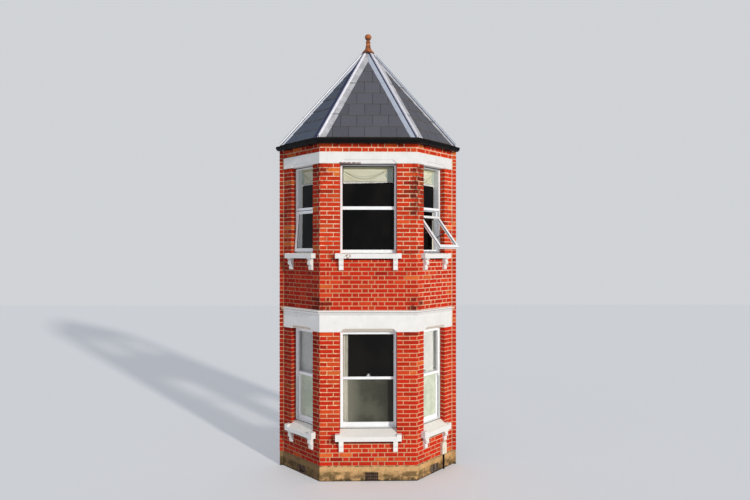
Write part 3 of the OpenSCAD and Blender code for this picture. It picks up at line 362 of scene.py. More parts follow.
def joinery(name, lights):
    """White paint on the windows; lights adds what the hung lights show."""
    k = Look(name, 0.38)
    c = k.mix(k.span(k.noise(6, 5), 0.35, 0.7), rgb(248, 251, 251), rgb(242, 244, 244))
    # The left cant's windows whiter: painted light.
    c = k.mix(k.below(k.x, -0.9, -0.86), c, rgb(254, 255, 255))
    c = k.mix(k.span(k.noise(60, 4, 0.7, (1, 1, 0.2)), 0.62, 0.78, 0.0, 0.2), c, rgb(196, 190, 178))
    # A dark line where the lower sashes' bottom rails meet the sills: painted shadow.
    rail_gap_shadow = k.times(k.between(k.z, 0.872, 0.889, 0.003), k.below(k.nz, 0.5, 0.6))
    c = k.mix(rail_gap_shadow, c, rgb(70, 66, 60))
    # Dark joints where the frames meet the brickwork, and painted shadow along the frames' heads under
    # the lintels
    x = k.absolute(k.x)
    along = k.along_cant(x)
    near_end = k.below(along, SIDE_NEAR + 0.008, SIDE_NEAR + 0.009)
    far_end = k.span(along, SIDE_FAR - 0.009, SIDE_FAR - 0.008)
    ends = k.times(k.span(x, *SIDE_WINDOWS), k.larger(near_end, far_end))
    ends = k.larger(ends, k.between(x, HALF - 0.009, HALF + 0.02, 0.001))
    # The dark band along the heads is painted shadow.
    head_shadows = k.larger(k.between(k.z, 5.496, 5.53, 0.002), k.between(k.z, 2.572, 2.6, 0.002))
    side = k.calc("SIGN", k.x)
    inward = k.times(k.minus(k.ny, k.times(k.nx, side)), C)
    street = k.larger(k.below(inward, -0.95, -0.9), k.below(k.ny, -0.95, -0.9))
    joints_and_head_shadows = k.times(k.larger(ends, head_shadows), street)
    c = k.mix(k.times(joints_and_head_shadows, 0.85), c, rgb(40, 38, 40))
    if lights:
        # Black seals on the edges of the two hung lights, and the open one's metal stays
        depth = k.into_cant(x)
        on_right, on_left = k.span(side, -0.1, 0.1), k.below(side, -0.1, 0.1)
        for angle, hinge_z, where in ((39.5, 4.6307, on_right), (5.0, 4.7207, on_left)):
            u, w = math.cos(math.radians(angle)), math.sin(math.radians(angle))
            behind = k.times(k.minus(depth, HINGE_DEPTH), u)
            behind = k.minus(behind, k.times(k.minus(k.z, hinge_z), w))
            facing = k.absolute(k.minus(k.times(inward, u), k.times(k.nz, w)))
            edge = k.times(where, k.below(facing, 0.3, 0.4))
            c = k.mix(k.times(edge, k.between(behind, 0.010, 0.020, 0.001)), c, rgb(24, 24, 26))
            if where is on_right:
                c = k.mix(k.times(where, k.span(behind, 0.0465, 0.0475)), c, rgb(52, 50, 50))
    k.colour(c)
    k.bump(k.noise(220, 3, 0.6, (1, 1, 0.1)), 0.12, 0.001)
    return k.m


JOINERY = joinery("painted_joinery", False)
SEALED = joinery("painted_joinery_with_seals", True)

k = Look("slate_faces", 0.62)
c = k.mix(k.noise(26, 5), k.attr("tint"), rgb(90, 91, 99))
# Slates facing left bluer: painted shade lit by the sky.
c = k.mix(k.below(k.nx, -0.4, -0.3), c, (0.92, 1.1, 1.3), "MULTIPLY")
c = k.mix(k.span(k.noise(4.5, 5), 0.6, 0.72, 0.0, 0.2), c, rgb(104, 88, 76))
c = k.mix(k.span(k.noise(60, 5), 0.64, 0.74, 0.0, 0.4), c, rgb(136, 134, 126))
c = k.mix(k.below(k.nz, -0.6, -0.4), c, rgb(168, 144, 112))
k.colour(c)
k.bump(k.noise(60, 6, 0.7, (1, 1, 0.5)), 0.5, 0.003)
SLATE = k.m

k = Look("roof_deck", 0.85)
k.colour(k.mix(k.noise(20, 4), rgb(26, 23, 22), rgb(44, 38, 34)))
k.bump(k.noise(80, 4), 0.4)
DECK = k.m

k = Look("lead_sheet", 0.5)
c = k.mix(k.span(k.noise(9, 5), 0.3, 0.7), rgb(206, 205, 208), rgb(172, 172, 176))
c = k.mix(k.span(k.noise(34, 5, 0.7), 0.6, 0.74, 0.0, 0.45), c, rgb(120, 118, 124))
lap = k.larger(k.between(k.z, 6.394, 6.406, 0.006), k.between(k.z, 7.014, 7.026, 0.006))
c = k.mix(k.times(lap, 0.8), c, rgb(60, 58, 62))
front_hip = k.off_line((*CORNER, ROOF_FOOT), APEX)
rear_hip = k.off_line((*WALL_CORNER, ROOF_FOOT), APEX)
off = k.calc("MINIMUM", front_hip, rear_hip)
turned = k.absolute(k.nx)
on_front, on_cant = k.below(turned, 0.25, 0.35), k.between(turned, 0.45, 0.67, 0.03)
left = k.below(k.x, -0.002, 0.002)
right = k.invert(left)
# The right hip's front wing bluish: painted reflection of the sky.
c = k.mix(k.times(k.times(right, on_front), 0.8), c, rgb(176, 186, 204))
# The rolls paler: painted highlight.
c = k.mix(k.times(k.below(off, 0.0245, 0.026), 0.8), c, rgb(240, 237, 246))
ribs = k.noise(70, 2, 0.5, (1, 1, 0.35))
c = k.mix(k.span(ribs, 0.5, 0.62, 0.0, 0.3), c, rgb(146, 142, 148))
nearer = k.span(k.minus(rear_hip, front_hip), 0.0, 0.002)
shaded = k.times(k.times(left, on_cant), k.times(nearer, k.span(front_hip, 0.025, 0.027)))
c = k.mix(k.times(shaded, 0.97), c, rgb(8, 26, 82))
# The left cant's lead by the rear hip near white: painted light.
pale = k.times(left, k.times(k.invert(nearer), k.below(rear_hip, 0.2, 0.24)))
c = k.mix(pale, c, rgb(252, 252, 255))
# Dark navy lines beside the rolls: painted shadow.
roll_shadow_front = k.times(k.times(right, on_front), k.between(front_hip, 0.0255, 0.046, 0.002))
roll_shadow_rear = k.times(on_cant, k.between(rear_hip, 0.0255, 0.046, 0.002))
c = k.mix(k.times(k.larger(roll_shadow_front, roll_shadow_rear), 0.97), c, rgb(10, 20, 56))
k.colour(c)
k.put("Metallic", 0.1)
k.bump(k.noise(30, 5), 0.4, 0.003)
LEAD = k.m

k = Look("terracotta_clay", 0.8)
c = k.mix(k.noise(22, 5), rgb(212, 126, 66), rgb(130, 68, 34))
c = k.mix(k.span(k.noise(50, 5), 0.6, 0.7, 0.0, 0.4), c, rgb(206, 168, 120))
c = k.mix(k.times(k.span(k.noise(14, 4), 0.48, 0.6), 0.7), c, rgb(66, 34, 22))
c = k.mix(k.times(k.between(k.z, 7.895, 7.925, 0.006), 0.6), c, rgb(60, 30, 20))
# Undersides dark: painted shade.
c = k.mix(k.below(k.nz, -0.9, -0.3, 0.7), c, rgb(60, 30, 20))
k.colour(c)
k.bump(k.noise(120, 5), 0.4)
TERRACOTTA = k.m

k = Look("airbrick_clay", 0.85)
c = k.mix(k.noise(40, 5), rgb(104, 76, 56), rgb(62, 48, 38))
c = k.mix(k.span(k.noise(18, 4), 0.5, 0.6, 0.0, 0.7), c, rgb(40, 34, 26))
# Faces inside the holes darker: painted shade.
c = k.mix(k.times(k.span(k.ny, -0.5, -0.2), 0.75), c, rgb(20, 16, 12))
behind = k.span(k.into_cant(k.x), 0.011, 0.013)
c = k.mix(k.times(k.span(k.x, 0.9, 0.92), behind), c, rgb(196, 190, 172))
k.colour(c)
k.bump(k.noise(120, 5), 0.5)
CLAY = k.m

k = Look("black_paint", 0.5)
k.put("Specular IOR Level", 0.14)
k.colour(k.mix(k.span(k.noise(20, 5), 0.5, 0.75), rgb(6, 6, 7), rgb(18, 17, 16)))
k.bump(k.noise(90, 4), 0.2, 0.001)
BLACK = k.m

k = Look("rafter_wood", 0.75)
ring = k.noise(7, 4, 0.6, (6, 6, 0.8))
k.colour(k.mix(k.span(ring, 0.3, 0.7), rgb(190, 150, 104), rgb(140, 100, 62)))
k.bump(ring, 0.3)
TIMBER = k.m

k = Look("brown_paint", 0.5)
c = k.mix(k.span(k.noise(18, 5, 0.6, (1, 1, 3)), 0.4, 0.7), rgb(72, 46, 34), rgb(46, 32, 26))
k.colour(c)
k.bump(k.noise(60, 4, 0.6, (1, 1, 4)), 0.2, 0.001)
BROWN = k.m

BOARD, LENGTHWAYS = 0.125, (14, 1.2, 1)
k = Look("floor_boards", 0.5)
seam = k.absolute(k.minus(k.fract(k.times(k.x, 1 / BOARD)), 0.5))
gap = k.span(seam, 0.475, 0.492)
c = k.mix(k.noise(5, 5, 0.6, LENGTHWAYS), rgb(178, 124, 74), rgb(128, 82, 46))
c = k.mix(gap, c, rgb(40, 26, 16))
under = k.below(k.nz, -0.9, -0.5)
c = k.mix(k.times(under, k.span(k.z, 1.0, 1.2)), c, rgb(232, 228, 218))
k.colour(c)
k.bump(k.minus(k.noise(9, 4, 0.6, LENGTHWAYS), k.times(gap, 4.0)), 0.25, 0.002)
BOARDS = k.m

k = Look("ceiling_plaster", 0.9)
k.colour(k.mix(k.noise(4, 4), rgb(236, 233, 225), rgb(222, 218, 208)))
k.bump(k.noise(60, 4), 0.15)
CEILING = k.m

k = Look("grey_box", 0.5)
k.colour(k.mix(k.span(k.noise(14, 5), 0.45, 0.75), rgb(226, 218, 198), rgb(192, 184, 164)))
k.bump(k.noise(120, 3), 0.15, 0.001)
BOX = k.m

# Panes. They look into unlit rooms, so they're dark. They are clear where cloth hangs close
# behind them, round the catch and in the open light, and frosted in the lower sashes.
MEETING_RAIL, NET_FOOT, BLIND_FOOT = (1.735, 1.74), (1.74, 1.745), (5.17, 5.18)
CURTAIN_EDGE, STRIP_EDGE = (-0.362, -0.356), (1.198, 1.204)
PANE_SIDE, PANE_HEAD = (0.444, 0.447), (5.474, 5.477)
CATCH = (0.0, -0.6414, 1.806)
SOLID, CLEARED = 0.98, 0.88
k = Look("window_glass", 0.04)
x = k.absolute(k.x)
low = k.below(k.z, *BETWEEN_ROWS)
high = k.invert(low)
side = k.span(x, *SIDE_WINDOWS)
film = k.times(low, k.below(k.z, *MEETING_RAIL))
deep = k.mix(k.span(k.noise(1.7, 4, 0.5, (1, 1, 0.6)), 0.42, 0.62), rgb(5, 4, 3), rgb(18, 15, 11))
filmed = k.mix(k.span(k.noise(2.2, 3), 0.4, 0.62), rgb(88, 88, 76), rgb(68, 68, 58))
# The front film darker to the right and paler to the left: painted shade and light.
filmed = k.mix(k.span(k.x, 0.05, 0.42, 0.0, 0.7), filmed, rgb(46, 46, 40))
filmed = k.mix(k.below(k.x, -0.4, -0.05, 0.5), filmed, rgb(138, 140, 124))
c = k.mix(film, deep, filmed)
# The side windows' film pale, as if lit: painted light.
lit = k.mix(k.span(k.noise(5, 3), 0.35, 0.65), rgb(212, 220, 200), rgb(192, 202, 182))
c = k.mix(k.times(film, side), c, lit)
k.colour(c)
net = k.times(k.times(side, low), k.span(k.z, *NET_FOOT))
blind = k.times(high, k.span(k.z, *BLIND_FOOT))
drawn = k.times(k.below(k.x, *CURTAIN_EDGE), k.times(low, k.invert(side)))
strips = k.times(high, k.span(x, *STRIP_EDGE))
outward = k.below(k.into_cant(k.x), 0.085, 0.09)
opened = k.times(high, k.times(outward, k.span(k.x, *RIGHT_CANT)))
clear = k.larger(k.larger(blind, net), k.larger(drawn, strips))
rim = k.times(k.larger(k.span(x, *PANE_SIDE), k.span(k.z, *PANE_HEAD)), k.invert(side))
clear = k.times(k.larger(clear, k.near(CATCH, 0.036, 0.042)), k.invert(rim))
alpha = k.minus(SOLID, k.times(clear, CLEARED))
alpha = k.minus(alpha, k.times(opened, CLEARED), True)
shadow = k.node("LightPath").outputs["Is Shadow Ray"]
alpha = k.times(alpha, k.invert(k.times(shadow, CLEARED)))
k.put("Alpha", alpha)
k.put("Specular IOR Level", 0.18)
k.put("Roughness", k.span(film, 0.4, 0.6, 0.04, 0.5))
GLASS = k.m

# The looks of the CAD nodes, by material slot, and of the few that have their own
LOOKS = {
    "brick": MORTAR, "render": RENDER, "clay": CLAY, "white_stone": STONE, "white_joinery": JOINERY,
    "clear_glass": GLASS, "slate": DECK, "lead": LEAD, "terracotta": TERRACOTTA, "black_iron": BLACK,
    "timber": TIMBER, "plaster": CEILING, "grey_plastic": BOX, "black_plastic": BLACK,
    "cream_fabric": CEILING,
}
OWN_LOOKS = {
    "fascia_boards": BROWN, "casements": SEALED, "ground_floor": BOARDS, "first_floor": BOARDS,
}
slots = {p["node"]: p["material_slot"] for p in frame["record"]["subparts"]}
for name, o in nodes.items():
    look = OWN_LOOKS.get(name) or LOOKS[slots[name]]
    if not o.material_slots:
        o.data.materials.append(look)
    for s in o.material_slots:
        s.material = look


def piece(name, verts, faces, look, tint=None, smooth=False):
    """A mesh with its look, and a colour for each point where there's a tint."""
    me = bpy.data.meshes.new(name)
    me.from_pydata(verts, [], faces)
    me.update()
    o = bpy.data.objects.new(name, me)
    bpy.context.scene.collection.objects.link(o)
    me.materials.append(look)
    if tint:
        a = me.attributes.new("tint", "FLOAT_COLOR", "POINT")
        a.data.foreach_set("color", [c for t in tint for c in (*t, 1)])
    if smooth:
        for p in me.polygons:
            p.use_smooth = True
    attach(o, "root")
    return o


def cant(s, t):
    """In plan, s along the right cant from its corner and t behind its face."""
    return (FRONT + s * C - t * C, -DEEP + s * C + t * C)


class Path:
    """Points in plan, walked with the outside on the right."""

    def __init__(self, pts):
        self.p = pts
        self.u = [0.0]
        self.n = []
        for a, b in zip(pts, pts[1:]):
            length = math.dist(a, b)
            self.u.append(self.u[-1] + length)
            self.n.append(((b[1] - a[1]) / length, -(b[0] - a[0]) / length))

    def at(self, u, left=False):
        """The point at u and its leg's normal; at a corner, left takes the leg before it."""
        for i in range(len(self.n)):
            if u < self.u[i + 1] - 1e-6 or (left and u <= self.u[i + 1] + 1e-6) or i == len(self.n) - 1:
                break
        a, b = self.p[i], self.p[i + 1]
        f = (u - self.u[i]) / (self.u[i + 1] - self.u[i])
        return (a[0] + (b[0] - a[0]) * f, a[1] + (b[1] - a[1]) * f), self.n[i]

    def corner(self, i):
        """A corner, and the way that keeps both legs' distance."""
        a, b = self.n[i - 1], self.n[i]
        k = 1 + a[0] * b[0] + a[1] * b[1]
        return self.p[i], ((a[0] + b[0]) / k, (a[1] + b[1]) / k)


# How far a brick's face stands out of the mortar, its chamfer, and how deep its edge sinks in
PROUD, ARRIS, SUNK = 0.0042, 0.0035, -0.0008


def wobble(most):
    """A random step either way, up to the most."""
    return rnd.uniform(-most, most)


class Bricks:
    """Brick faces that stand proud of the mortar, each with a chamfered edge."""

    def __init__(self):
        self.v, self.f, self.t = [], [], []

    def lay(self, path, u0, u1, z0, z1, mirror):
        colour = brick_colour(path.at((u0 + u1) / 2)[0], (z0 + z1) / 2, mirror)
        cols = [(*path.at(u0), 0), (*path.at(u0 + ARRIS), 1)]
        for i in range(1, len(path.p) - 1):
            if u0 + ARRIS < path.u[i] < u1 - ARRIS:
                cols.append((*path.corner(i), 1))
        cols += [(*path.at(u1 - ARRIS, True), 1), (*path.at(u1, True), 0)]
        lift = PROUD + wobble(0.0008)
        base = len(self.v)
        dz = wobble(0.0012)
        rows = [(z0 + dz, 0), (z0 + dz + ARRIS, 1), (z1 + dz - ARRIS, 1), (z1 + dz, 0)]
        for p, n, inner in cols:
            for z, raised in rows:
                d = lift + wobble(0.0004) if inner and raised else SUNK
                x, y = p[0] + n[0] * d, p[1] + n[1] * d
                self.v.append((-x if mirror else x, y, z + (wobble(0.0008) if raised else 0)))
                self.t.append(colour)
        for i in range(len(cols) - 1):
            for j in range(3):
                a = base + i * 4 + j
                q = (a, a + 4, a + 5, a + 1)
                self.f.append(q[::-1] if mirror else q)


def brick_colour(p, z, mirror):
    """Red, with some bricks lighter and a few orange or dark; paler on the first floor; darker at random
    on the left cant as painted shade, and at the sooty places and painted shadows.
    """
    upper, left = z > 3.9, mirror and p[0] > 0.85
    r = rnd.random()
    odd = 0.07 if upper else 0.028
    if r < odd:
        c = rgb(222, 104, 44)
    elif r < 1.7 * odd:
        c = rgb(146, 18, 10)
    elif r < 1.7 * odd + 0.16:
        c = rgb(210, 66, 30)
    else:
        c = rgb(198, 38, 14)
    s = rnd.uniform(0.82, 1.1)
    if mirror and z < 2.6 and abs(p[0]) <= 0.86 and rnd.random() < 0.33:
        c = rgb(216, 76, 32)
    if upper:
        c, s = (c[0], c[1] * 1.25 + 0.008, c[2] * 1.2), s * 1.14
    # Bricks on the left cant darker at random: painted shade.
    if left and rnd.random() < 0.4:
        s *= rnd.uniform(0.5, 0.8)
    # Darker bricks at the sooty places, and by the sills' ends where shadow is painted.
    soot_and_shadow_amount = 0.0
    for q, r0, r1, strength in SOOT_AND_SHADOW:
        d = math.dist((-p[0] if mirror else p[0], p[1], z), q)
        soot_and_shadow_amount = max(soot_and_shadow_amount, strength * (1 - min(1.0, max(0.0, (d - r0) / (r1 - r0)))))
    if rnd.random() < 0.85 * soot_and_shadow_amount:
        k = rnd.uniform(0.45, 0.9)
        c = tuple(v + (w - v) * k for v, w in zip(c, rgb(58, 18, 12)))
    return tuple(min(1.0, v * s) for v in c)


JOINT = 0.0135


def course(bricks, path, spans, z, h, mirror):
    z0, z1 = z + JOINT / 2, z + h - JOINT / 2
    for a, b in spans:
        bricks.lay(path, a, b, z0, z1, mirror)


def run(start, lengths, end=None):
    """Spans of bricks from start, each length with its joint, scaled to end where it's given."""
    total = sum(lengths)
    k = 1.0 if end is None else (end + JOINT - start) / total
    out, u = [], start
    for length in lengths:
        out.append((u, u + length * k - JOINT))
        u += length * k
    return out


# A stretcher, a header, a closer and a three-quarter brick, each with its joint; how far a brick
# turns a corner; and how far the rows stay clear of a frame, of a nib, and within a nib's end
S, H, Q, T = 0.225, 0.1125, 0.0665, 0.175
RETURN = 0.055
EDGE, SHY = 0.003, 0.002
NIB_CLEAR, NIB_CLEAR_AT_BAND, NIB_END = 0.012, 0.004, 0.13
beyond = cant(0.2, 0)
front_path = Path([(-beyond[0], beyond[1]), (-FRONT, -DEEP), (FRONT, -DEEP), beyond])
F0, F1 = 0.2, 0.2 + 2 * FRONT
side_path = Path([(FRONT, -DEEP), cant(CANT, 0), (NIB, -NIB_D), (NIB, 0)])
nib_path = Path([(END, -NIB_D), (NIB, -NIB_D), (NIB, 0)])
corner_path = Path([
    (HALF, -DEEP + REVEAL), (HALF, -DEEP), (FRONT, -DEEP), cant(SIDE_NEAR, 0), cant(SIDE_NEAR, REVEAL),
])
end_path = Path([cant(SIDE_FAR, REVEAL), cant(SIDE_FAR, 0), cant(CANT, 0)])


def nib_course(bricks, z, h, even, start=NIB_CLEAR_AT_BAND, sides=(False, True)):
    """A course of the nibs alone: one brick, or a longer and a shorter one."""
    spans = [(start, NIB_END)] if even else [(start, 0.092), (0.104, NIB_END)]
    for m in sides:
        course(bricks, nib_path, spans, z, h, m)


def full_course(bricks, z, h, even):
    """A course all round: even ones turn the corners, odd ones have a header and closer."""
    if even:
        front = run(F0 - RETURN, [S + RETURN, H, S, H, S, H, H, S, H, S + RETURN], F1 + RETURN)
        side = run(RETURN + JOINT, [H, S, H, S, H, T], CANT - SHY)
    else:
        front = run(F0, [H, Q, S, H, S, H, H, S, H, S, Q, H], F1)
        side = run(JOINT, [S, H, S, H, S, H], CANT - SHY)
    course(bricks, front_path, front, z, h, False)
    for m in (False, True):
        course(bricks, side_path, side, z, h, m)
        nib_course(bricks, z, h, even, NIB_CLEAR, (m,))


def pier_course(bricks, z, h, even):
    """A course of the piers beside the windows, which return into the reveals."""
    turn = REVEAL + FRONT - HALF
    last = turn + SIDE_NEAR + REVEAL - EDGE
    far = REVEAL + CANT - SIDE_FAR - SHY
    header = (EDGE, REVEAL + 0.102)
    if even:
        corner = [header, (REVEAL + H, turn + RETURN), (turn + RETURN + JOINT, last)]
        end = [(EDGE, far)]
    else:
        corner = [(EDGE, REVEAL + 0.2145), (REVEAL + S, turn), (turn + JOINT, last)]
        end = [header, (REVEAL + H, far)]
    for m in (False, True):
        course(bricks, corner_path, corner, z, h, m)
        course(bricks, end_path, end, z, h, m)
        nib_course(bricks, z, h, even, NIB_CLEAR, (m,))


def zone(name, z0, z1, count, first_even, layer):
    """The courses from z0 to z1 as one piece."""
    bricks = Bricks()
    h = (z1 - z0) / count
    for i in range(count):
        layer(bricks, z0 + i * h, h, (i % 2 == 0) == first_even)
    piece(name, bricks.v, bricks.f, BRICK, bricks.t)


zone("bricks_beside_lower_band", LOWER_HEAD, BAND_TOP, 5, False, nib_course)
zone("bricks_beside_upper_band", UPPER_HEAD, LINTEL_TOP, 3, False, nib_course)
zone("bricks_under_lower_sills", PLINTH, LOWER_SILL, 6, True, full_course)
zone("bricks_lower_piers", LOWER_SILL, LOWER_HEAD, 25, True, pier_course)
zone("bricks_between_storeys", BAND_TOP, UPPER_SILL, 12, False, full_course)
zone("bricks_upper_piers", UPPER_SILL, UPPER_HEAD, 22, False, pier_course)
zone("bricks_eaves", LINTEL_TOP, EAVES, 2, False, full_course)


def clip(poly, a, b):
    """Keeps the part of a polygon on the left of the line a-b."""
    def side(p):
        return (b[0] - a[0]) * (p[1] - a[1]) - (b[1] - a[1]) * (p[0] - a[0])

    out = []
    for i in range(len(poly)):
        p, q = poly[i], poly[(i + 1) % len(poly)]
        sp, sq = side(p), side(q)
        if sp >= 0:
            out.append(p)
        if (sp > 0 > sq) or (sp < 0 < sq):
            t = sp / (sp - sq)
            out.append((p[0] + (q[0] - p[0]) * t, p[1] + (q[1] - p[1]) * t))
    return out


def slates(name, a, b, mirror, origin_u):
    """Slates in courses on the slope over the eaves line a-b, clipped where the leads cover them."""
    w = math.dist(a, b)
    along = ((b[0] - a[0]) / w, (b[1] - a[1]) / w)
    inward = (-along[1], along[0])
    apex = (APEX[0] - a[0], APEX[1] - a[1])
    apex_u = apex[0] * along[0] + apex[1] * along[1]
    level = math.hypot(apex[0] - apex_u * along[0], apex[1] - apex_u * along[1])
    rise = APEX[2] - ROOF_FOOT
    apex_v = math.hypot(level, rise)
    up = (inward[0] * level / apex_v, inward[1] * level / apex_v, rise / apex_v)
    out = (-inward[0] * rise / apex_v, -inward[1] * rise / apex_v, level / apex_v)
    lead = 0.1255  # the leads' half width, square to the hip
    left = lead * math.hypot(apex_u, apex_v) / apex_v
    right = lead * math.hypot(w - apex_u, apex_v) / apex_v
    share = (w - left - right) / w
    tri = [(left, 0.0), (w - right, 0.0), (left + apex_u * share, apex_v * share)]
    gauge, width, gap, lap, thick = 0.2377, 0.279, 0.006, 0.05, 0.0055
    v, f, t = [], [], []
    tails = [0.0] + [0.2155 + gauge * i for i in range(12)]
    for row, v0 in enumerate(tails):
        v1 = v0 + gauge + lap
        shift = origin_u + (width / 2 if row % 2 else 0)
        first = math.floor(-shift / width) - 1
        for i in range(first, first + int(w / width) + 4):
            u0 = shift + i * width + gap / 2
            u1 = u0 + width - gap
            uneven = wobble(0.003)
            tail_v = v0 + uneven if row else v0
            poly = [(u0, tail_v), (u1, tail_v), (u1, v1), (u0, v1)]
            for c0, c1 in ((tri[0], tri[1]), (tri[1], tri[2]), (tri[2], tri[0])):
                poly = clip(poly, c0, c1) if len(poly) > 2 else []
            if len(poly) < 3:
                continue
            tone = rnd.uniform(0.74, 1.2)
            colour = rgb(77, 77, 84) if rnd.random() > 0.05 else rgb(88, 82, 80)
            colour = tuple(c * tone for c in colour)
            tail, head = 0.0115 + rnd.uniform(-0.001, 0.0015), 0.001
            base, n = len(v), len(poly)
            for lift in (0.0, -thick):
                for pu, pv in poly:
                    h = tail + (head - tail) * (pv - v0) / (v1 - v0) + lift
                    x = a[0] + along[0] * pu + up[0] * pv + out[0] * h
                    y = a[1] + along[1] * pu + up[1] * pv + out[1] * h
                    v.append((-x if mirror else x, y, ROOF_FOOT + up[2] * pv + out[2] * h))
                    t.append(colour)
            faces = [tuple(range(base, base + n)), tuple(range(base + 2 * n - 1, base + n - 1, -1))]
            for j in range(n):
                k = (j + 1) % n
                faces.append((base + j, base + n + j, base + n + k, base + k))
            f += [q[::-1] for q in faces] if mirror else faces
    piece(name, v, f, SLATE, t)


slates("slates_front", (-CORNER[0], CORNER[1]), CORNER, False, CORNER[0] - 0.064)
slates("slates_right", CORNER, WALL_CORNER, False, 0.05)
slates("slates_left", CORNER, WALL_CORNER, True, 0.09)


# A point in plan at the front, right or left window, x from its middle and t behind its wall's face
def at_front(x, t):
    return (x, -DEEP + t)


def at_right(x, t):
    return cant(MID + x, t)


def at_left(x, t):
    p = cant(MID + x, t)
    return (-p[0], p[1])


def gasket(v, f, place, half, z0, z1):
    """A black gasket round a fixed pane: a flat rim and its inner edge."""
    base = len(v)
    for inset, t in ((0.0, 0.1145), (0.012, 0.1165), (0.014, 0.1335)):
        x, low, high = half - inset, z0 + inset, z1 - inset
        for px, z in ((-x, low), (x, low), (x, high), (-x, high)):
            v.append((*place(px, t), z))
    for ring in range(2):
        for i in range(4):
            a, b = base + ring * 4 + i, base + ring * 4 + (i + 1) % 4
            f.append((a, b, b + 4, a + 4))


v, f = [], []
gasket(v, f, at_front, 0.455, 4.775, 5.485)
gasket(v, f, at_front, 0.455, 4.014, 4.718)
piece("glazing_gaskets", v, f, BLACK)


# Cloth at the windows: each sheet hangs in the space that its solid holds
def cloth_look(name, a, b, seed, lace=None):
    """Woven cloth; a blind also has a lace edge, and the painted shade of its folds and of the shadows
    on it comes as the attribute tint.
    """
    k = Look(name, 0.85)
    weave = k.noise(900, 2)
    c = k.mix(k.span(k.noise(seed, 5), 0.35, 0.65), rgb(*a), rgb(*b))
    c = k.mix(k.span(weave, 0.45, 0.6, 0.0, 0.12), c, rgb(150, 138, 112))
    if lace:
        edge, holes = k.below(k.z, lace - 0.004, lace), k.span(k.noise(55, 2), 0.56, 0.6, 0.0, 0.8)
        # Multiplies in the tint: painted shade and highlight of the folds, and the painted shadows of
        # the reveal and the lintel.
        c = k.mix(1.0, c, k.attr("tint"), "MULTIPLY")
        c = k.mix(edge, c, rgb(254, 254, 250))
        c = k.mix(k.times(edge, holes), c, rgb(150, 140, 118))
        c = k.mix(k.between(k.z, lace, lace + 0.004, 0.003), c, rgb(186, 176, 146))
    k.colour(c)
    k.put("Sheen Weight", 0.15)
    k.bump(weave, 0.15, 0.0005)
    return k.m


CREAM = cloth_look("cream_cloth", (254, 253, 234), (244, 243, 218), 4, 5.222)
CURTAIN = cloth_look("curtain_cloth", (255, 252, 240), (246, 241, 226), 5)
NET = cloth_look("net_cloth", (252, 252, 246), (240, 243, 238), 6)


def hang(name, place, cols, rows, shape, look, node, folds=None):
    """A sheet of cols by rows cells. shape gives x, t and z for shares across and down; folds, where
    given, gives each point's painted shade as the tint.
    """
    shares = [(i / cols, j / rows) for j in range(rows + 1) for i in range(cols + 1)]
    tint = [folds(u, w) for u, w in shares] if folds else None
    v, f = [], []
    for u, w in shares:
        x, t, z = shape(u, w)
        v.append((*place(x, t), z))
    for j in range(rows):
        for i in range(cols):
            a = j * (cols + 1) + i
            f.append((a, a + cols + 1, a + cols + 2, a + 1))
    o = piece(name, v, f, look, tint, smooth=True)
    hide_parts(node)


def dip(v, at, w):
    """A smooth bump of width w at a place."""
    return math.exp(-((v - at) / w) ** 2)


def swag_arc(u):
    """How low the swag hangs, from 0 at its ends to 1."""
    return 1 - (2 * min(u / 0.84, 1.0) - 1) ** 2


def blind(half, bottom, tilt):
    """A blind gathered up in one swag, with a scalloped lace edge along its bottom."""
    z1, t0, nearest, furthest = 5.484, 0.1935, 0.179, 0.2075

    def shape(u, w):
        scallop = 0.007 * abs(math.sin(math.pi * half * 36 * u))
        z0 = bottom + tilt * u - scallop
        arc = 0.52 * swag_arc(u)
        fade = min(1.0, 12 * max(0.0, 0.9 - u))
        t = t0 - 0.009 * dip(w, 0.14 + 0.03 * math.sin(5 * u), 0.035)
        t += 0.009 * dip(w, 0.24 + arc, 0.05) * fade
        t -= 0.006 * dip(w, 0.34 + arc, 0.05) * fade
        t += 0.008 * dip(u, 0.86 + 0.03 * math.sin(9 * w), 0.02) * (1 - dip(w, 0, 0.1))
        t += 0.0025 * math.sin(17 * u + 9 * w)
        if w > 0.88:
            t += 0.003 * math.sin(math.pi * half * 72 * u)
        return -half + 2 * half * u, min(max(t, nearest), furthest), z1 + (z0 - z1) * w
    return shape


def swag(u, w):
    """Painted shade of a blind: its folds, the reveal's shadow on the plain strip beside its swag and
    the lintel's shadow along its top, with a painted highlight on the band under that.
    """
    if u > 0.86 + 0.02 * math.sin(9 * w):
        return (0.60, 0.70, 0.74) if w > 0.16 else (0.62, 0.62, 0.52)
    if w < 0.17:
        return (0.66, 0.66, 0.52)
    arc = swag_arc(u)
    line = 0.45 * dip(w, 0.2 + 0.55 * arc, 0.022) + 0.2 * dip(w, 0.3 + 0.3 * arc, 0.03)
    v = (1.0 if w < 0.26 else 0.9) - line
    return (v, v, 0.94 * v)


def drape(x0, w, t0, depth, z0, z1, folds, seed):
    """A hanging sheet in soft folds, a little deeper towards its hem."""
    def shape(u, v):
        a = 2 * math.pi * folds * u
        d = depth * (0.75 + 0.25 * v)
        t = t0 + d * (0.8 * math.sin(a + 0.4 * math.sin(3 * v + seed)) + 0.2 * math.sin(2.3 * a + seed))
        return x0 + w * u + 0.004 * math.sin(a * 0.5 + 5 * v), t, z1 + (z0 - z1) * v
    return shape


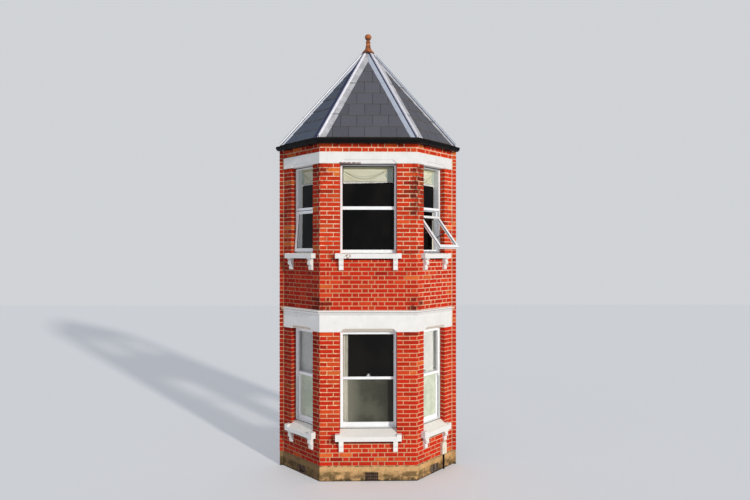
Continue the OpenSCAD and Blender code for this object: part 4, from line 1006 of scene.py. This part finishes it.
for name, place, half, bottom, tilt in (
    ("blind_front", at_front, 0.442, 5.188, 0.024),
    ("blind_right", at_right, 0.252, 5.172, 0.0),
    ("blind_left", at_left, 0.252, 5.2, 0.0),
):
    hang(name, place, 160, 100, blind(half, bottom, tilt), CREAM,
         "blinds", swag)
hang("curtain_front", at_front, 60, 30, drape(-0.484, 0.122, 0.285, 0.02, 0.316, 2.58, 4, 0.3), CURTAIN,
     "curtains")
strip = drape(0.25, 0.087, 0.2356, 0.0125, 3.978, 5.482, 3, 1.1)
for name, place in (("curtain_right", at_right), ("curtain_left", at_left)):
    hang(name, place, 60, 30, strip, CURTAIN, "curtains")
net = drape(-0.294, 0.588, 0.2276, 0.0055, 1.739, 2.569, 13, 2.0)
for name, place in (("net_right", at_right), ("net_left", at_left)):
    hang(name, place, 160, 20, net, NET, "curtains")

# Stage
bpy.ops.mesh.primitive_plane_add(size=60, location=(0, 0, 0))
floor = bpy.context.object
floor.name = "floor"
k = Look("stage_floor", 0.9)
k.colour((0.86, 0.86, 0.86))
k.put("Emission Color", (1, 1, 1, 1))
k.put("Emission Strength", 0.12)
floor.data.materials.append(k.m)

# A card in the wall plane keeps the rooms dark, as seen from the street. It shows only to the
# camera's own rays, from that side, and lets the daylight through.
bpy.ops.mesh.primitive_plane_add(size=1, location=(0, 0.004, 2.9), rotation=(math.radians(90), 0, 0))
card = bpy.context.object
card.name = "dark_card"
card.scale = (2.56, 5.4, 1)
k = Look("dark_card", 0.9)
k.colour(k.mix(k.noise(2, 3), (0.006, 0.006, 0.006), (0.012, 0.011, 0.010)))
k.put("Specular IOR Level", 0.0)
street_side = k.invert(k.node("NewGeometry").outputs["Backfacing"])
k.put("Alpha", k.times(street_side, k.node("LightPath").outputs["Is Camera Ray"]))
card.data.materials.append(k.m)

# Light: a low sun from the right, and a sky that is brighter on the left; the camera sees a pale
# background in its place
SKY, PALE = (0.86, 0.93, 1.06, 1), (0.635, 0.65, 0.675, 1)
world = bpy.data.worlds.new("world")
bpy.context.scene.world = world
world.use_nodes = True
nt = world.node_tree
back = nt.nodes["Background"]
back.inputs[0].default_value = SKY
shown = add(nt, "ShaderNodeBackground", {0: PALE, 1: 1.0}).outputs[0]
ray = add(nt, "ShaderNodeLightPath").outputs
way = add(nt, "ShaderNodeTexCoord").outputs["Generated"]
across = add(nt, "ShaderNodeSeparateXYZ", {0: way}).outputs[0]
strength = add(nt, "ShaderNodeMapRange", {0: across, 1: -0.8, 2: 0.8, 3: 0.52, 4: 0.34}).outputs[0]
nt.links.new(strength, back.inputs[1])
rays = {0: ray["Is Camera Ray"], 1: ray["Is Transmission Ray"]}
seen = add(nt, "ShaderNodeMath", rays, operation="MAXIMUM").outputs[0]
choose = add(nt, "ShaderNodeMixShader", {0: seen, 1: back.outputs[0], 2: shown})
nt.links.new(choose.outputs[0], nt.nodes["World Output"].inputs[0])

sun = bpy.data.lights.new("sun", "SUN")
sun.energy = 2.35
sun.angle = math.radians(3)
sun.color = (1, 0.96, 0.89)
sun_o = bpy.data.objects.new("sun", sun)
bpy.context.scene.collection.objects.link(sun_o)
az, el = math.radians(39), math.radians(15)
sun_o.rotation_euler = (math.radians(90) - el, 0, az)
